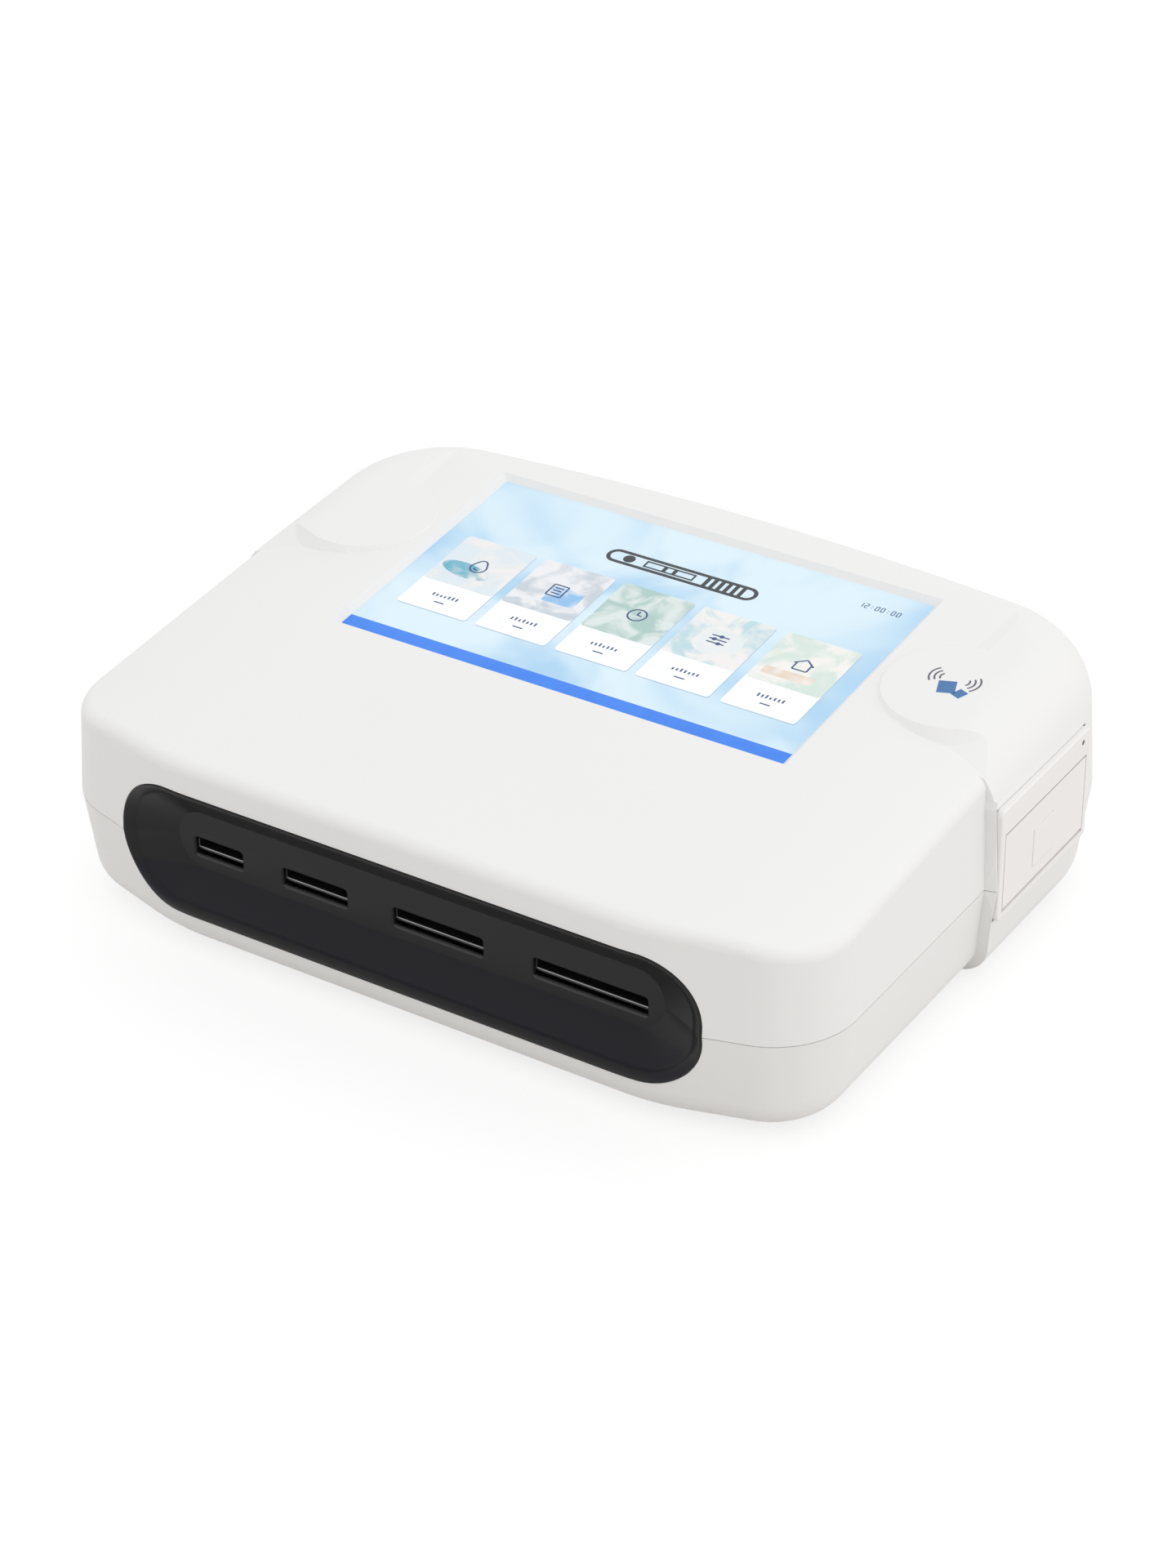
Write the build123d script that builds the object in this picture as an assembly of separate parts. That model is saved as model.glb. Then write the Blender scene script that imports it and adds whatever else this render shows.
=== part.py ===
"""Bench-top rapid test reader with four cassette slots, a sloping touch screen and a side ticket printer.

Millimetres.  X runs to the user's right, Y to the rear, Z up.  The origin is on the table, under the
middle of the case.  Every piece is a solid of its own and is written to parts/NAME.step.
"""
from build123d import *
from math import asin, atan2, cos, hypot, pi, radians, sin, sqrt, tan
import os

# ---- case -------------------------------------------------------------------------------------
WALL = 3.0                # thickness of the moulded shells
FOOT_HEIGHT = 2.5         # rubber feet under the lower shell
SPLIT_Z = 49.0            # parting line between the two shells
SPLIT_GAP = 0.35          # shadow gap seen along the parting line
TONGUE = 1.4              # thickness of the lower shell's tongue
FRONT_Y = -145.7          # flat middle of the front
FRONT_HALF = 184.8        # half width of the front part
CHEEK_X = 118.0           # outside of this the front falls back
CHEEK_ANGLE = 16.0        # by this many degrees
CHEEK_R = 110.0           # rounding between the two
FRONT_CORNER_R = 38.0
REAR_Y = 149.2            # rearmost point of the bowed rear
REAR_ARC_R = 1300.0       # bow of the rear in plan
REAR_HALF = 189.8         # half width of the rear part, which stands a little further out
REAR_CORNER_R = 60.0
STEP_Y = 7.5              # where the side steps out to the rear width
STEP_RUN = 1.5            # length over which it does so
STEP = REAR_HALF - FRONT_HALF
FRONT_PART_REAR_Y = 70.0  # the front part runs on inside the rear part to here
UPPER_DRAFT = 3.8         # degrees that the upper walls lean in
LOWER_DRAFT = 7.0         # degrees that the lower walls lean in
EDGE_R = 6.0              # top edge of the front part
ROLL_R = 29.0             # wide top roll of the rear part
BASE_R = 16.0             # bottom edge

# ---- sloping top ------------------------------------------------------------------------------
TILT = 4.76               # degrees, rising to the rear
SHOULDER_TILT = TILT - 1.24    # the round shoulders slope a little less than the top
SHOULDER_MEET_Y = 88.0    # and meet its level here
SCREEN_Y = -25.0          # front edge of the screen's visible face
SCREEN_Z = 101.0
SCREEN_WIDTH = 217.0
SCREEN_DEPTH = 129.3
FLAT_HALF = 117.0         # the top is flat across this half width
CROWN_R = 250.0           # and falls away to the sides with this radius
SHOULDER_X = 146.0        # centre of each round shoulder
SHOULDER_Y = 51.5
SHOULDER_R = 30.0
SHOULDER_SLOPE = 40.0     # degrees that the step round a shoulder leans
SHOULDER_LEVEL = 10.5     # height of a shoulder's middle above the screen's front edge
SHOULDER_DEPTH = 40.0     # how far down a shoulder's form is carried
WING_SLOPE = 20.0         # degrees that the flank in front of a shoulder rises
WING_LEAN = 10.0          # degrees that its inner end leans
WING_START = (SHOULDER_X, 18.5)       # its lower edge in plan, from below the disc out to the side step
WING_END = (REAR_HALF - 4.0, STEP_Y + 1.5)

# ---- front bezel ------------------------------------------------------------------------------
BEZEL_HALF = 140.0
BEZEL_LOW_Z = 19.2
BEZEL_HIGH_Z = 80.0
BEZEL_CORNER_R = 28.0
BEZEL_RIM = 4.6
BEZEL_PROUD = 0.6
FLOOR_Y = -130.0          # flat slot floor at the bottom of the dish
FLOOR_HALF = 118.0
FLOOR_LOW_Z = 36.0
FLOOR_HIGH_Z = 63.0
BEZEL_WALL = 2.4
SLOT_SPANS = ((-109.8, -86.0), (-65.0, -33.4), (-10.1, 32.8), (57.1, 109.8))
SLOT_LOW_Z = 41.2
SLOT_HEIGHT = 8.66
SLOT_CORNER_R = 1.0
SLOT_LIP = 0.9            # chamfer round the mouth of each slot

# ---- card guides and scanner ------------------------------------------------------------------
GUIDE_WALL = 2.0
GUIDE_FLOOR = 1.2         # thickness of the floor that the card slides on
GUIDE_RISE = 3.0          # height of that floor above the slot's lower edge
GUIDE_REAR_Y = -60.0
GUIDE_LIP = 2.6
DECK_Z = 34.0             # underside of the scanner deck
DECK_THICKNESS = 2.0
DECK_HALF = 158.0
DECK_FRONT_Y = -124.0
DECK_REAR_Y = -22.0
ROD_R = 3.0
ROD_Z = 66.0
ROD_YS = (-112.0, -66.0)
ROD_HALF = 154.0
BRACKET_X = 150.0
BRACKET_THICKNESS = 2.0
CARRIAGE_HOME_X = -128.0
CARRIAGE_HALF = 18.0
CARRIAGE_LOW_Z = 57.0
CARRIAGE_HIGH_Z = 76.0
CARRIAGE_FRONT_Y = -121.0
CARRIAGE_REAR_Y = -56.0
BUSH_R = 5.0
PULLEY_X = 147.0
PULLEY_Y = -36.0
PULLEY_R = 8.0
PULLEY_LOW_Z = 38.0
BELT_THICKNESS = 1.3
BELT_HEIGHT = 5.4
RUNNING = 0.05            # radial clearance of shafts in their bores
FIT = 0.2                 # gap round pieces that drop into an opening

# ---- screen stack (depths below the visible face) ---------------------------------------------
GLASS_THICKNESS = 1.8
GLASS_MARGIN = 4.0
MODULE_THICKNESS = 4.5
MODULE_MARGIN = 7.0
BRACKET_SHEET = 1.5
SCREEN_POST_X = 122.5

# ---- side printer -----------------------------------------------------------------------------
PANEL_X = 190.2           # outer face of the printer panel
PANEL_THICKNESS = 3.4
PANEL_YS = (10.0, 90.0)
PANEL_ZS = (33.0, 86.0)
PANEL_CORNER_R = 3.0
DOOR_YS = (14.0, 86.0)
DOOR_TOP_Z = 73.2
PAPER_SLIT = 0.8
DOOR_GAP = 0.5
DOOR_THICKNESS = 3.0
HINGE_R = 1.8             # outside of the hinge barrel
HINGE_PIN_R = 1.0
HINGE_X = PANEL_X - HINGE_R
HINGE_Z = 38.4
PLATEN_X = 180.5
PLATEN_Z = 66.0
PLATEN_R = 5.0
PLATEN_SHAFT_R = 1.5
PLATEN_YS = (18.0, 78.0)
GEAR_YS = (82.5, 85.5)
MODULE = 0.5              # gear module
PLATEN_TEETH = 22
DRIVE_TEETH = 28
PINION_TEETH = 14
GEAR_SPREAD = 0.1         # added to each centre distance for backlash
ROLL_CENTRE = (152.0, 49.5)    # paper roll, x and z
PAPER_R = 16.0
CORE_R = 6.0
PAPER_YS = (18.5, 76.5)
FRAME_SHEET = 2.0
FRAME_FOOT_X = 178.0
FRAME_PLATE_YS = (11.0, 79.5, 87.0)
PRINT_MOTOR_R = 9.0
BUTTON_Y = 49.0
BUTTON_Z = 53.0
BUTTON_SIZE = 18.0
BUTTON_TRAVEL = 1.2
LIGHT_Y = 82.4
LIGHT_Z = 81.6
LIGHT_R = 1.1

# ---- boards, rear panel, fasteners ------------------------------------------------------------
BOARD_Z = 16.0
BOARD_THICKNESS = 1.6
MAIN_BOARD = (-140.0, -6.0, 20.0, 124.0)     # x low, y low, x high, y high
POWER_BOARD = (38.0, -6.0, 118.0, 112.0)
REAR_OPENING = (-118.0, 12.0, 6.0, 40.0)     # x low, z low, x high, z high
REAR_PANEL_Y = 134.6
REAR_PANEL_THICKNESS = 2.0
ROCKER_TILT = 8.0
ROCKER_PIN_R = 1.0
SCREW_POSTS = ((-168.0, -98.0), (168.0, -98.0), (-171.0, 0.0), (171.0, 0.0), (-152.0, 108.0), (60.0, 128.0))
POST_R = 4.5
POST_JOIN_Z = 47.0
SCREW_R = 1.45
SCREW_HEAD_R = 2.8
SCREW_HEAD = 2.4
FEET = ((-150.0, -98.0), (150.0, -98.0), (-140.0, 100.0), (140.0, 100.0))
FOOT_R = 9.0
FLOOR_Z = FOOT_HEIGHT + WALL      # inside floor of the lower shell
SCREW_SEAT_Z = FLOOR_Z + 3.8      # top of the screw heads
FAR = 400.0                       # longer than the case, for cutters
READER_DEPTH = 5.0
READER_BOARD = (147.0, 60.0, 96.0)         # x, and its span up the slope
READER_POST_VS = (READER_BOARD[1] + 5, READER_BOARD[2] - 5)
LENS_Y = (ROD_YS[0] + ROD_YS[1]) / 2
LENS_R = 6.0
MOTOR_SHAFT_R = 2.5
IDLER_AXLE_R = 3.0
PULLEY_TEETH = 20
DECK_POSTS = ((-150.0, -116.0), (150.0, -116.0), (-150.0, -34.0), (110.0, -34.0), (0.0, -34.0), (0.0, -116.0))
PRINTER_LOW_Z = 30.0
PRINTER_POSTS = ((140.0, 20.0), (140.0, 78.0), (176.0, 20.0), (176.0, 78.0))
EAR_YS = (15.0, 79.8)
HEAD_BAR_X = 166.0
GEAR_STUB_R = 1.5
PINION_SHAFT_R = 1.0
VENT_COUNT = 9
VENT_PITCH = 9.0
VENT_Y = 60.0
PORTS = {                                   # x, z, width and height seen from the rear
    "usb_a": (-20.0, 24.0, 13.2, 5.8),
    "usb_b": (-42.0, 24.0, 13.2, 5.8),
    "network": (-66.0, 26.0, 15.8, 13.4),
    "inlet": (-4.0, 24.0, 9.0, 11.0),
    "switch": (-98.0, 26.0, 19.2, 12.8),
}


# ---- helpers ----------------------------------------------------------------------------------
def block(x0, y0, z0, x1, y1, z1):
    """Box between two corners."""
    return Pos((x0 + x1) / 2, (y0 + y1) / 2, (z0 + z1) / 2) * Box(abs(x1 - x0), abs(y1 - y0), abs(z1 - z0))


def rod(axis, centre, radius, start, end):
    """Cylinder along X, Y or Z; centre is its place across the axis, start and end its ends along it."""
    turned = {"x": Rot(0, 90, 0), "y": Rot(-90, 0, 0), "z": Rot(0, 0, 0)}[axis]
    middle = (start + end) / 2
    place = {"x": (middle, *centre), "y": (centre[0], middle, centre[1]), "z": (*centre, middle)}[axis]
    return Pos(*place) * turned * Cylinder(radius, end - start)


def xz_prism(sketch_xz, y0, y1):
    """Extrude a sketch drawn with x, z coordinates from y0 to y1."""
    return extrude(Plane(origin=(0, y1, 0), x_dir=(1, 0, 0), z_dir=(0, -1, 0)) * sketch_xz, amount=y1 - y0)


def polygon(points):
    """Closed face through the points."""
    return make_face(Polyline(*points, close=True))


def sloped(level, tilt=TILT):
    """Plane of the sloping top; level is its height above the screen's face."""
    s = sin(radians(tilt))
    c = cos(radians(tilt))
    return Plane(origin=(0, SCREEN_Y - level * s, SCREEN_Z + level * c), x_dir=(1, 0, 0), z_dir=(0, -s, c))


def on_slope(u0, v0, w0, u1, v1, w1):
    """Box in the screen's own axes: u across, v up the slope, w above the visible face."""
    return sloped(0) * block(u0, v0, w0, u1, v1, w1)


# ---- outer and inner forms of the case --------------------------------------------------------
def front_outline(inset, z):
    """Plan of the front part: flat front, two cheeks that fall back, round corners, straight sides."""
    angle = radians(CHEEK_ANGLE)
    half = FRONT_HALF - inset
    cheek_x = CHEEK_X - inset * tan(angle / 2)
    corner_y = FRONT_Y + (half - CHEEK_X) * tan(angle) + inset / cos(angle)
    face = polygon([(-half, FRONT_PART_REAR_Y), (-half, corner_y), (-cheek_x, FRONT_Y + inset),
                    (cheek_x, FRONT_Y + inset), (half, corner_y), (half, FRONT_PART_REAR_Y)])
    face = fillet(face.vertices().sort_by(Axis.Y)[:2], CHEEK_R - inset)
    corners = [v for v in face.vertices() if abs(v.Y - corner_y) < 0.01]
    return Pos(0, 0, z) * fillet(corners, FRONT_CORNER_R - inset)


def rear_outline(inset, z):
    """Plan of the wider rear part: square at the front, bowed rear with large round corners."""
    half = REAR_HALF - inset
    arc_r = REAR_ARC_R - inset
    side_y = REAR_Y - inset - arc_r + sqrt(arc_r ** 2 - half ** 2)
    bow = ThreePointArc((half, side_y), (0, REAR_Y - inset), (-half, side_y))
    start = STEP_Y + inset
    rest = Polyline((-half, side_y), (-half, start), (half, start), (half, side_y))
    face = make_face([bow, *rest.edges()])
    return Pos(0, 0, z) * fillet(face.vertices().sort_by(Axis.Y)[-2:], REAR_CORNER_R - inset)


def behind_steps(inset):
    """Everything behind the two leaning faces where the sides step out."""
    half = REAR_HALF - inset
    start = STEP_Y + inset
    plan = polygon([(-half + STEP, start), (half - STEP, start), (half + STEP, start + 2 * STEP_RUN), (FAR, FAR),
                    (-FAR, FAR), (-half - STEP, start + 2 * STEP_RUN)])
    return extrude(plan, amount=FAR)


def under_crown(level):
    """Everything below the crowned top: flat in the middle, an arc down to each side, swept up the slope."""
    half = REAR_HALF + 20
    fall = CROWN_R - sqrt(CROWN_R ** 2 - (half - FLAT_HALF) ** 2)
    turn = asin((half - FLAT_HALF) / CROWN_R) / 2
    mid_x = FLAT_HALF + CROWN_R * sin(turn)
    mid_z = -CROWN_R * (1 - cos(turn))
    right = ThreePointArc((FLAT_HALF, 0), (mid_x, mid_z), (half, -fall))
    left = ThreePointArc((-half, -fall), (-mid_x, mid_z), (-FLAT_HALF, 0))
    rest = Polyline((half, -fall), (half, -FAR), (-half, -FAR), (-half, -fall))
    top = Line((-FLAT_HALF, 0), (FLAT_HALF, 0))
    plane = sloped(level)
    section = Plane(origin=plane.origin - plane.y_dir * FAR / 2, x_dir=(1, 0, 0), z_dir=-plane.y_dir)
    return extrude(section * make_face([top, right, *rest.edges(), left]), amount=-FAR)


def crown_height(x, y):
    """Height of the crowned top over a point of the plan."""
    fall = CROWN_R - sqrt(CROWN_R ** 2 - max(0.0, abs(x) - FLAT_HALF) ** 2)
    return SCREEN_Z + (y - SCREEN_Y) * tan(radians(TILT)) + (WALL - fall) / cos(radians(TILT))


def shoulder_lid(inset):
    """Plane over the rear part; the shoulders' tops lie in it."""
    tilt = radians(TILT if inset > 0 else SHOULDER_TILT)
    meet_z = crown_height(0, SHOULDER_MEET_Y) - inset / cos(tilt)
    return Plane(origin=(0, SHOULDER_MEET_Y, meet_z), x_dir=(1, 0, 0), z_dir=(0, -sin(tilt), cos(tilt)))


def shoulder(inset):
    """Form of the right shoulder: a round disc with a leaning step, and a flank that rises from the side step."""
    spread = SHOULDER_DEPTH * tan(radians(SHOULDER_SLOPE))
    low = SCREEN_Z + SHOULDER_LEVEL - SHOULDER_DEPTH
    disc = Pos(SHOULDER_X, SHOULDER_Y, low) * Circle(SHOULDER_R + spread - inset)
    cone = extrude(disc, amount=SHOULDER_DEPTH + SHOULDER_LEVEL, taper=SHOULDER_SLOPE)
    if inset > 0:
        return cone
    start = Vector(*WING_START, crown_height(*WING_START))
    end = Vector(*WING_END, crown_height(*WING_END))
    along = end - start
    inward = Vector(-along.Y, along.X, 0).normalized() + Vector(0, 0, tan(radians(WING_SLOPE)))
    flank = Plane(origin=start, x_dir=along, z_dir=along.cross(inward))
    wing = flank * Pos(0, 0, -FAR / 2) * Box(FAR, FAR, FAR)
    lid = shoulder_lid(0)
    outward = Vector(1, 0, tan(radians(WING_LEAN)))
    lean = Plane(origin=lid.origin + Vector(SHOULDER_X, 0, 0), x_dir=outward, z_dir=outward.cross(lid.y_dir))
    wing = wing & (lean * Pos(0, 0, -FAR / 2) * Box(FAR, FAR, FAR))
    return cone + (wing & block(SHOULDER_X - SHOULDER_R, STEP_Y - 2, low, FAR, FAR, FAR))


def soften(solid, edges, radius, inset):
    """Round the outside's edges; on the inside, where it can't be seen, the same edges get a plain chamfer."""
    if inset > 0:
        return chamfer(edges, (radius - inset) * 0.7)
    return fillet(edges, radius - inset)


def upper_form(inset):
    """Solid form of the upper half, inset evenly from the outside."""
    crown = under_crown(WALL - inset)
    front = extrude(front_outline(inset, SPLIT_Z), amount=90, taper=UPPER_DRAFT) & crown
    front = soften(front, [e for e in front.edges() if is_rim(e)], EDGE_R, inset)
    rear = extrude(rear_outline(inset, SPLIT_Z), amount=90, taper=UPPER_DRAFT)
    rear = rear & (shoulder_lid(inset) * Pos(0, 0, -FAR / 2) * Box(2 * FAR, 2 * FAR, FAR))
    top_face = rear.faces().sort_by(Axis.Z)[-1]
    roll = [e for e in top_face.edges() if e.center().Y > STEP_Y + 10]
    rear = soften(rear, roll, ROLL_R, inset) & behind_steps(inset)
    right = shoulder(inset)
    return front + (rear & (crown + right + mirror(right, Plane.YZ)))


def is_rim(edge):
    """True for an edge that runs round the top of the front part."""
    box = edge.bounding_box()
    high = box.min.Z > SPLIT_Z + 25
    inside = abs(edge.center().X) < FLAT_HALF + 2 and box.max.Y - box.min.Y > 100
    return high and not inside and box.min.Y < FRONT_PART_REAR_Y - 20


def lower_form(inset):
    """Solid form of the lower half, inset evenly from the outside."""
    height = SPLIT_Z - FOOT_HEIGHT - inset
    parts = []
    for outline, buried_y in ((front_outline, FRONT_PART_REAR_Y), (rear_outline, STEP_Y + inset)):
        part = extrude(outline(inset, SPLIT_Z), amount=height, dir=(0, 0, -1), taper=LOWER_DRAFT)
        bottom = part.faces().sort_by(Axis.Z)[0]
        rim = [e for e in bottom.edges() if abs(e.center().Y - buried_y) > 12]
        parts.append(soften(part, rim, BASE_R, inset))
    return parts[0] + (parts[1] & behind_steps(inset))


# ---- case pieces ------------------------------------------------------------------------------
def bezel_outline(grow):
    """Front view of the bezel."""
    width = 2 * (BEZEL_HALF + grow)
    height = BEZEL_HIGH_Z - BEZEL_LOW_Z + 2 * grow
    middle = (BEZEL_HIGH_Z + BEZEL_LOW_Z) / 2
    return Pos(0, middle) * RectangleRounded(width, height, BEZEL_CORNER_R + grow)


def screen_window():
    """Cutter for the screen's window: as large as the visible face below, splayed all round above."""
    half = SCREEN_WIDTH / 2
    splay = WALL + 1.0
    lower = sloped(-1.0) * polygon([(-half + 1, 1), (half - 1, 1), (half - 1, SCREEN_DEPTH - 1),
                                    (-half + 1, SCREEN_DEPTH - 1)])
    upper = sloped(WALL + 1.0) * polygon([(-half - splay, -splay), (half + splay, -splay),
                                          (half + splay, SCREEN_DEPTH + splay),
                                          (-half - splay, SCREEN_DEPTH + splay)])
    return loft([lower, upper])


def printer_opening():
    """Cutter for the printer's opening in the right wall of both shells."""
    return block(PANEL_X - 14, PANEL_YS[0] - FIT, PANEL_ZS[0] - FIT,
                 PANEL_X + 14, PANEL_YS[1] + FIT, PANEL_ZS[1] + FIT)


def tongue_ring(inset, z0, z1):
    """Ring that follows the case's plan just inside it, as deep as the tongue is thick."""
    def plan(side_inset):
        rear = extrude(rear_outline(side_inset, z0), amount=z1 - z0) & behind_steps(side_inset)
        return extrude(front_outline(side_inset, z0), amount=z1 - z0) + rear
    return plan(inset) - plan(inset + TONGUE)


def post(x, y, z0, z1, radius):
    """Round post standing from z0 to z1."""
    return rod("z", (x, y), radius, z0, z1)


def screen_posts():
    """Posts that hang from the top and carry the screen's bracket."""
    depth = GLASS_THICKNESS + MODULE_THICKNESS
    for x in (-SCREEN_POST_X, SCREEN_POST_X):
        for v in (8.0, SCREEN_DEPTH - 8.0):
            yield sloped(0) * rod("z", (x, v), 3.5, -depth, 1.0)


def upper_shell():
    """Top half of the case: crowned and rolled skin, posts for the screws, the screen and the reader board."""
    outer = upper_form(0)
    shell = outer - upper_form(WALL)
    for x, y in SCREW_POSTS:
        shell += post(x, y, POST_JOIN_Z, 130, POST_R) & outer
    for pillar in screen_posts():
        shell += pillar
    for v in READER_POST_VS:
        shell += sloped(0) * rod("z", (READER_BOARD[0], v), 3.0, -READER_DEPTH, 1.0)
    shell -= screen_window()
    shell -= xz_prism(bezel_outline(FIT), FRONT_Y - 20, FLOOR_Y + 8)
    shell -= printer_opening()
    for x, y in SCREW_POSTS:
        shell -= post(x, y, POST_JOIN_Z - 1, POST_JOIN_Z + 12, SCREW_R + RUNNING)
    return shell


def lower_shell():
    """Bottom half of the case: tapered skin with a tongue into the upper half, bosses, vents and ports."""
    outer = lower_form(0)
    shell = outer - lower_form(WALL)
    shell -= block(-FAR, -FAR, SPLIT_Z - SPLIT_GAP, FAR, FAR, SPLIT_Z + 1)
    shell += tongue_ring(WALL + FIT, SPLIT_Z - 4.0, SPLIT_Z + 2.5)
    for places, top, radius in ((SCREW_POSTS, POST_JOIN_Z, POST_R), (DECK_POSTS, DECK_Z, 4.0),
                                (board_posts(MAIN_BOARD) + board_posts(POWER_BOARD), BOARD_Z, 3.5),
                                (PRINTER_POSTS, PRINTER_LOW_Z, 4.0)):
        for x, y in places:
            shell += post(x, y, FLOOR_Z - 1, top, radius) & outer
    x0, z0, x1, z1 = REAR_OPENING
    collar = block(x0 - 3, REAR_PANEL_Y - 2, z0 - 3, x1 + 3, REAR_Y, z1 + 3) & outer
    shell += collar
    shell -= block(x0, REAR_PANEL_Y - 6, z0, x1, REAR_Y + 10, z1)
    shell -= xz_prism(bezel_outline(FIT), FRONT_Y - 20, FLOOR_Y + 8)
    shell -= printer_opening()
    for x, y in SCREW_POSTS:
        shell -= post(x, y, 0, POST_JOIN_Z + 1, SCREW_R + RUNNING)
        shell -= post(x, y, 0, SCREW_SEAT_Z, SCREW_HEAD_R + RUNNING)
    for i in range(VENT_COUNT):
        x = (i - (VENT_COUNT - 1) / 2) * VENT_PITCH
        shell -= Pos(x, VENT_Y, FOOT_HEIGHT) * Rot(0, 0, 90) * extrude(SlotOverall(42.0, 2.6), amount=WALL * 3, both=True)
    return shell


def bezel_level(y, inset):
    """Outline of the bezel, inset evenly, as a section at y."""
    plane = Plane(origin=(0, y, 0), x_dir=(1, 0, 0), z_dir=(0, -1, 0))
    return plane * bezel_outline(-inset)


def floor_level(y, grow):
    """Outline of the slot floor, grown evenly, as a section at y."""
    plane = Plane(origin=(0, y, 0), x_dir=(1, 0, 0), z_dir=(0, -1, 0))
    height = FLOOR_HIGH_Z - FLOOR_LOW_Z + 2 * grow
    middle = (FLOOR_LOW_Z + FLOOR_HIGH_Z) / 2
    return plane * Pos(0, middle) * RectangleRounded(2 * (FLOOR_HALF + grow), height, height / 2 - 0.5)


def slot_level(y, x0, x1, grow):
    """Outline of a card slot, grown evenly, as a section at y."""
    plane = Plane(origin=(0, y, 0), x_dir=(1, 0, 0), z_dir=(0, -1, 0))
    outline = RectangleRounded(x1 - x0 + 2 * grow, SLOT_HEIGHT + 2 * grow, SLOT_CORNER_R + grow)
    return plane * Pos((x0 + x1) / 2, SLOT_LOW_Z + SLOT_HEIGHT / 2) * outline


def front_bezel():
    """Black dish in the front: a rim that follows the front, sloping walls and a flat floor with slots."""
    turn_y = FLOOR_Y - 8.0
    dish = loft([bezel_level(FRONT_Y - 3, BEZEL_RIM - 1.6), bezel_level(turn_y, BEZEL_RIM + 2.4),
                 floor_level(FLOOR_Y, 0)], ruled=True)
    cup = loft([bezel_level(FLOOR_Y - 6, BEZEL_RIM - 1.0), floor_level(FLOOR_Y + BEZEL_WALL, 2.0)], ruled=True)
    skin = upper_form(-BEZEL_PROUD) + lower_form(-BEZEL_PROUD)
    rim = xz_prism(bezel_outline(0), FRONT_Y - 10, FLOOR_Y - 1) & skin
    bezel = (rim + cup) - dish
    for x0, x1 in SLOT_SPANS:
        bezel -= extrude(slot_level(FLOOR_Y - 5, x0, x1, 0), amount=-11)
        bezel -= loft([slot_level(FLOOR_Y - 0.1, x0, x1, SLOT_LIP + 0.1), slot_level(FLOOR_Y + SLOT_LIP, x0, x1, 0)],
                      ruled=True)
    return bezel


# ---- screen -----------------------------------------------------------------------------------
def screen_glass():
    """Cover glass, bonded under the edge of the window."""
    m = GLASS_MARGIN
    half = SCREEN_WIDTH / 2 + m
    return on_slope(-half, -m, -GLASS_THICKNESS, half, SCREEN_DEPTH + m, 0)


def screen_module():
    """Display panel in its folded metal tray."""
    m = MODULE_MARGIN
    half = SCREEN_WIDTH / 2 + m
    top = -GLASS_THICKNESS
    tray = on_slope(-half, -m, top - MODULE_THICKNESS, half, SCREEN_DEPTH + m, top)
    return tray - on_slope(-half + 8, 8, top - MODULE_THICKNESS, half - 8, SCREEN_DEPTH - 8, top - MODULE_THICKNESS + 1)


def screen_bracket():
    """Pressed sheet that holds the display to the posts, with windows to save weight."""
    top = -GLASS_THICKNESS - MODULE_THICKNESS
    half = SCREEN_POST_X + 6
    sheet = on_slope(-half, 0, top - BRACKET_SHEET, half, SCREEN_DEPTH, top)
    for u in (-62.0, 0.0, 62.0):
        sheet -= on_slope(u - 22, 24, top - 5, u + 22, SCREEN_DEPTH - 24, top + 5)
    return sheet


def reader_board():
    """Contactless reader board below the right shoulder, on two posts."""
    x, v0, v1 = READER_BOARD[0], READER_BOARD[1], READER_BOARD[2]
    board = on_slope(x - 15, v0, -READER_DEPTH - BOARD_THICKNESS, x + 15, v1, -READER_DEPTH)
    coil = on_slope(x - 13, v0 + 9, -READER_DEPTH, x + 13, v1 - 9, -READER_DEPTH + 0.6)
    hole = on_slope(x - 10, v0 + 12, -READER_DEPTH - 0.1, x + 10, v1 - 12, -READER_DEPTH + 2)
    return board + (coil - hole)


# ---- scanner ----------------------------------------------------------------------------------
def scanner_deck():
    """Folded steel deck on posts; the card guides, rods and motor stand on it."""
    deck = block(-DECK_HALF, DECK_FRONT_Y, DECK_Z, DECK_HALF, DECK_REAR_Y, DECK_Z + DECK_THICKNESS)
    deck += block(-DECK_HALF, DECK_REAR_Y - 1.5, DECK_Z, 100, DECK_REAR_Y, DECK_Z + 14)
    deck -= post(PULLEY_X, PULLEY_Y, DECK_Z - 1, DECK_Z + 4, 4.0)
    return deck


def card_guide(x0, x1):
    """Moulded channel that takes a test card: raised floor, side walls, lips over the edges, end stop."""
    side0 = x0 - FIT
    side1 = x1 + FIT
    low = DECK_Z + DECK_THICKNESS
    floor_top = SLOT_LOW_Z + GUIDE_RISE
    top = SLOT_LOW_Z + SLOT_HEIGHT + FIT
    front = FLOOR_Y + BEZEL_WALL + FIT
    outer = block(side0 - GUIDE_WALL, front, low, side1 + GUIDE_WALL, GUIDE_REAR_Y, top + 1.6)
    guide = outer - block(side0, front - 1, floor_top, side1, GUIDE_REAR_Y - GUIDE_WALL, top)
    guide -= block(side0 + GUIDE_LIP, front + 14, top - 1, side1 - GUIDE_LIP, GUIDE_REAR_Y - 8, top + 3)
    return guide - block(side0, front - 1, low - 1, side1, GUIDE_REAR_Y + 1, floor_top - GUIDE_FLOOR)


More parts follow.
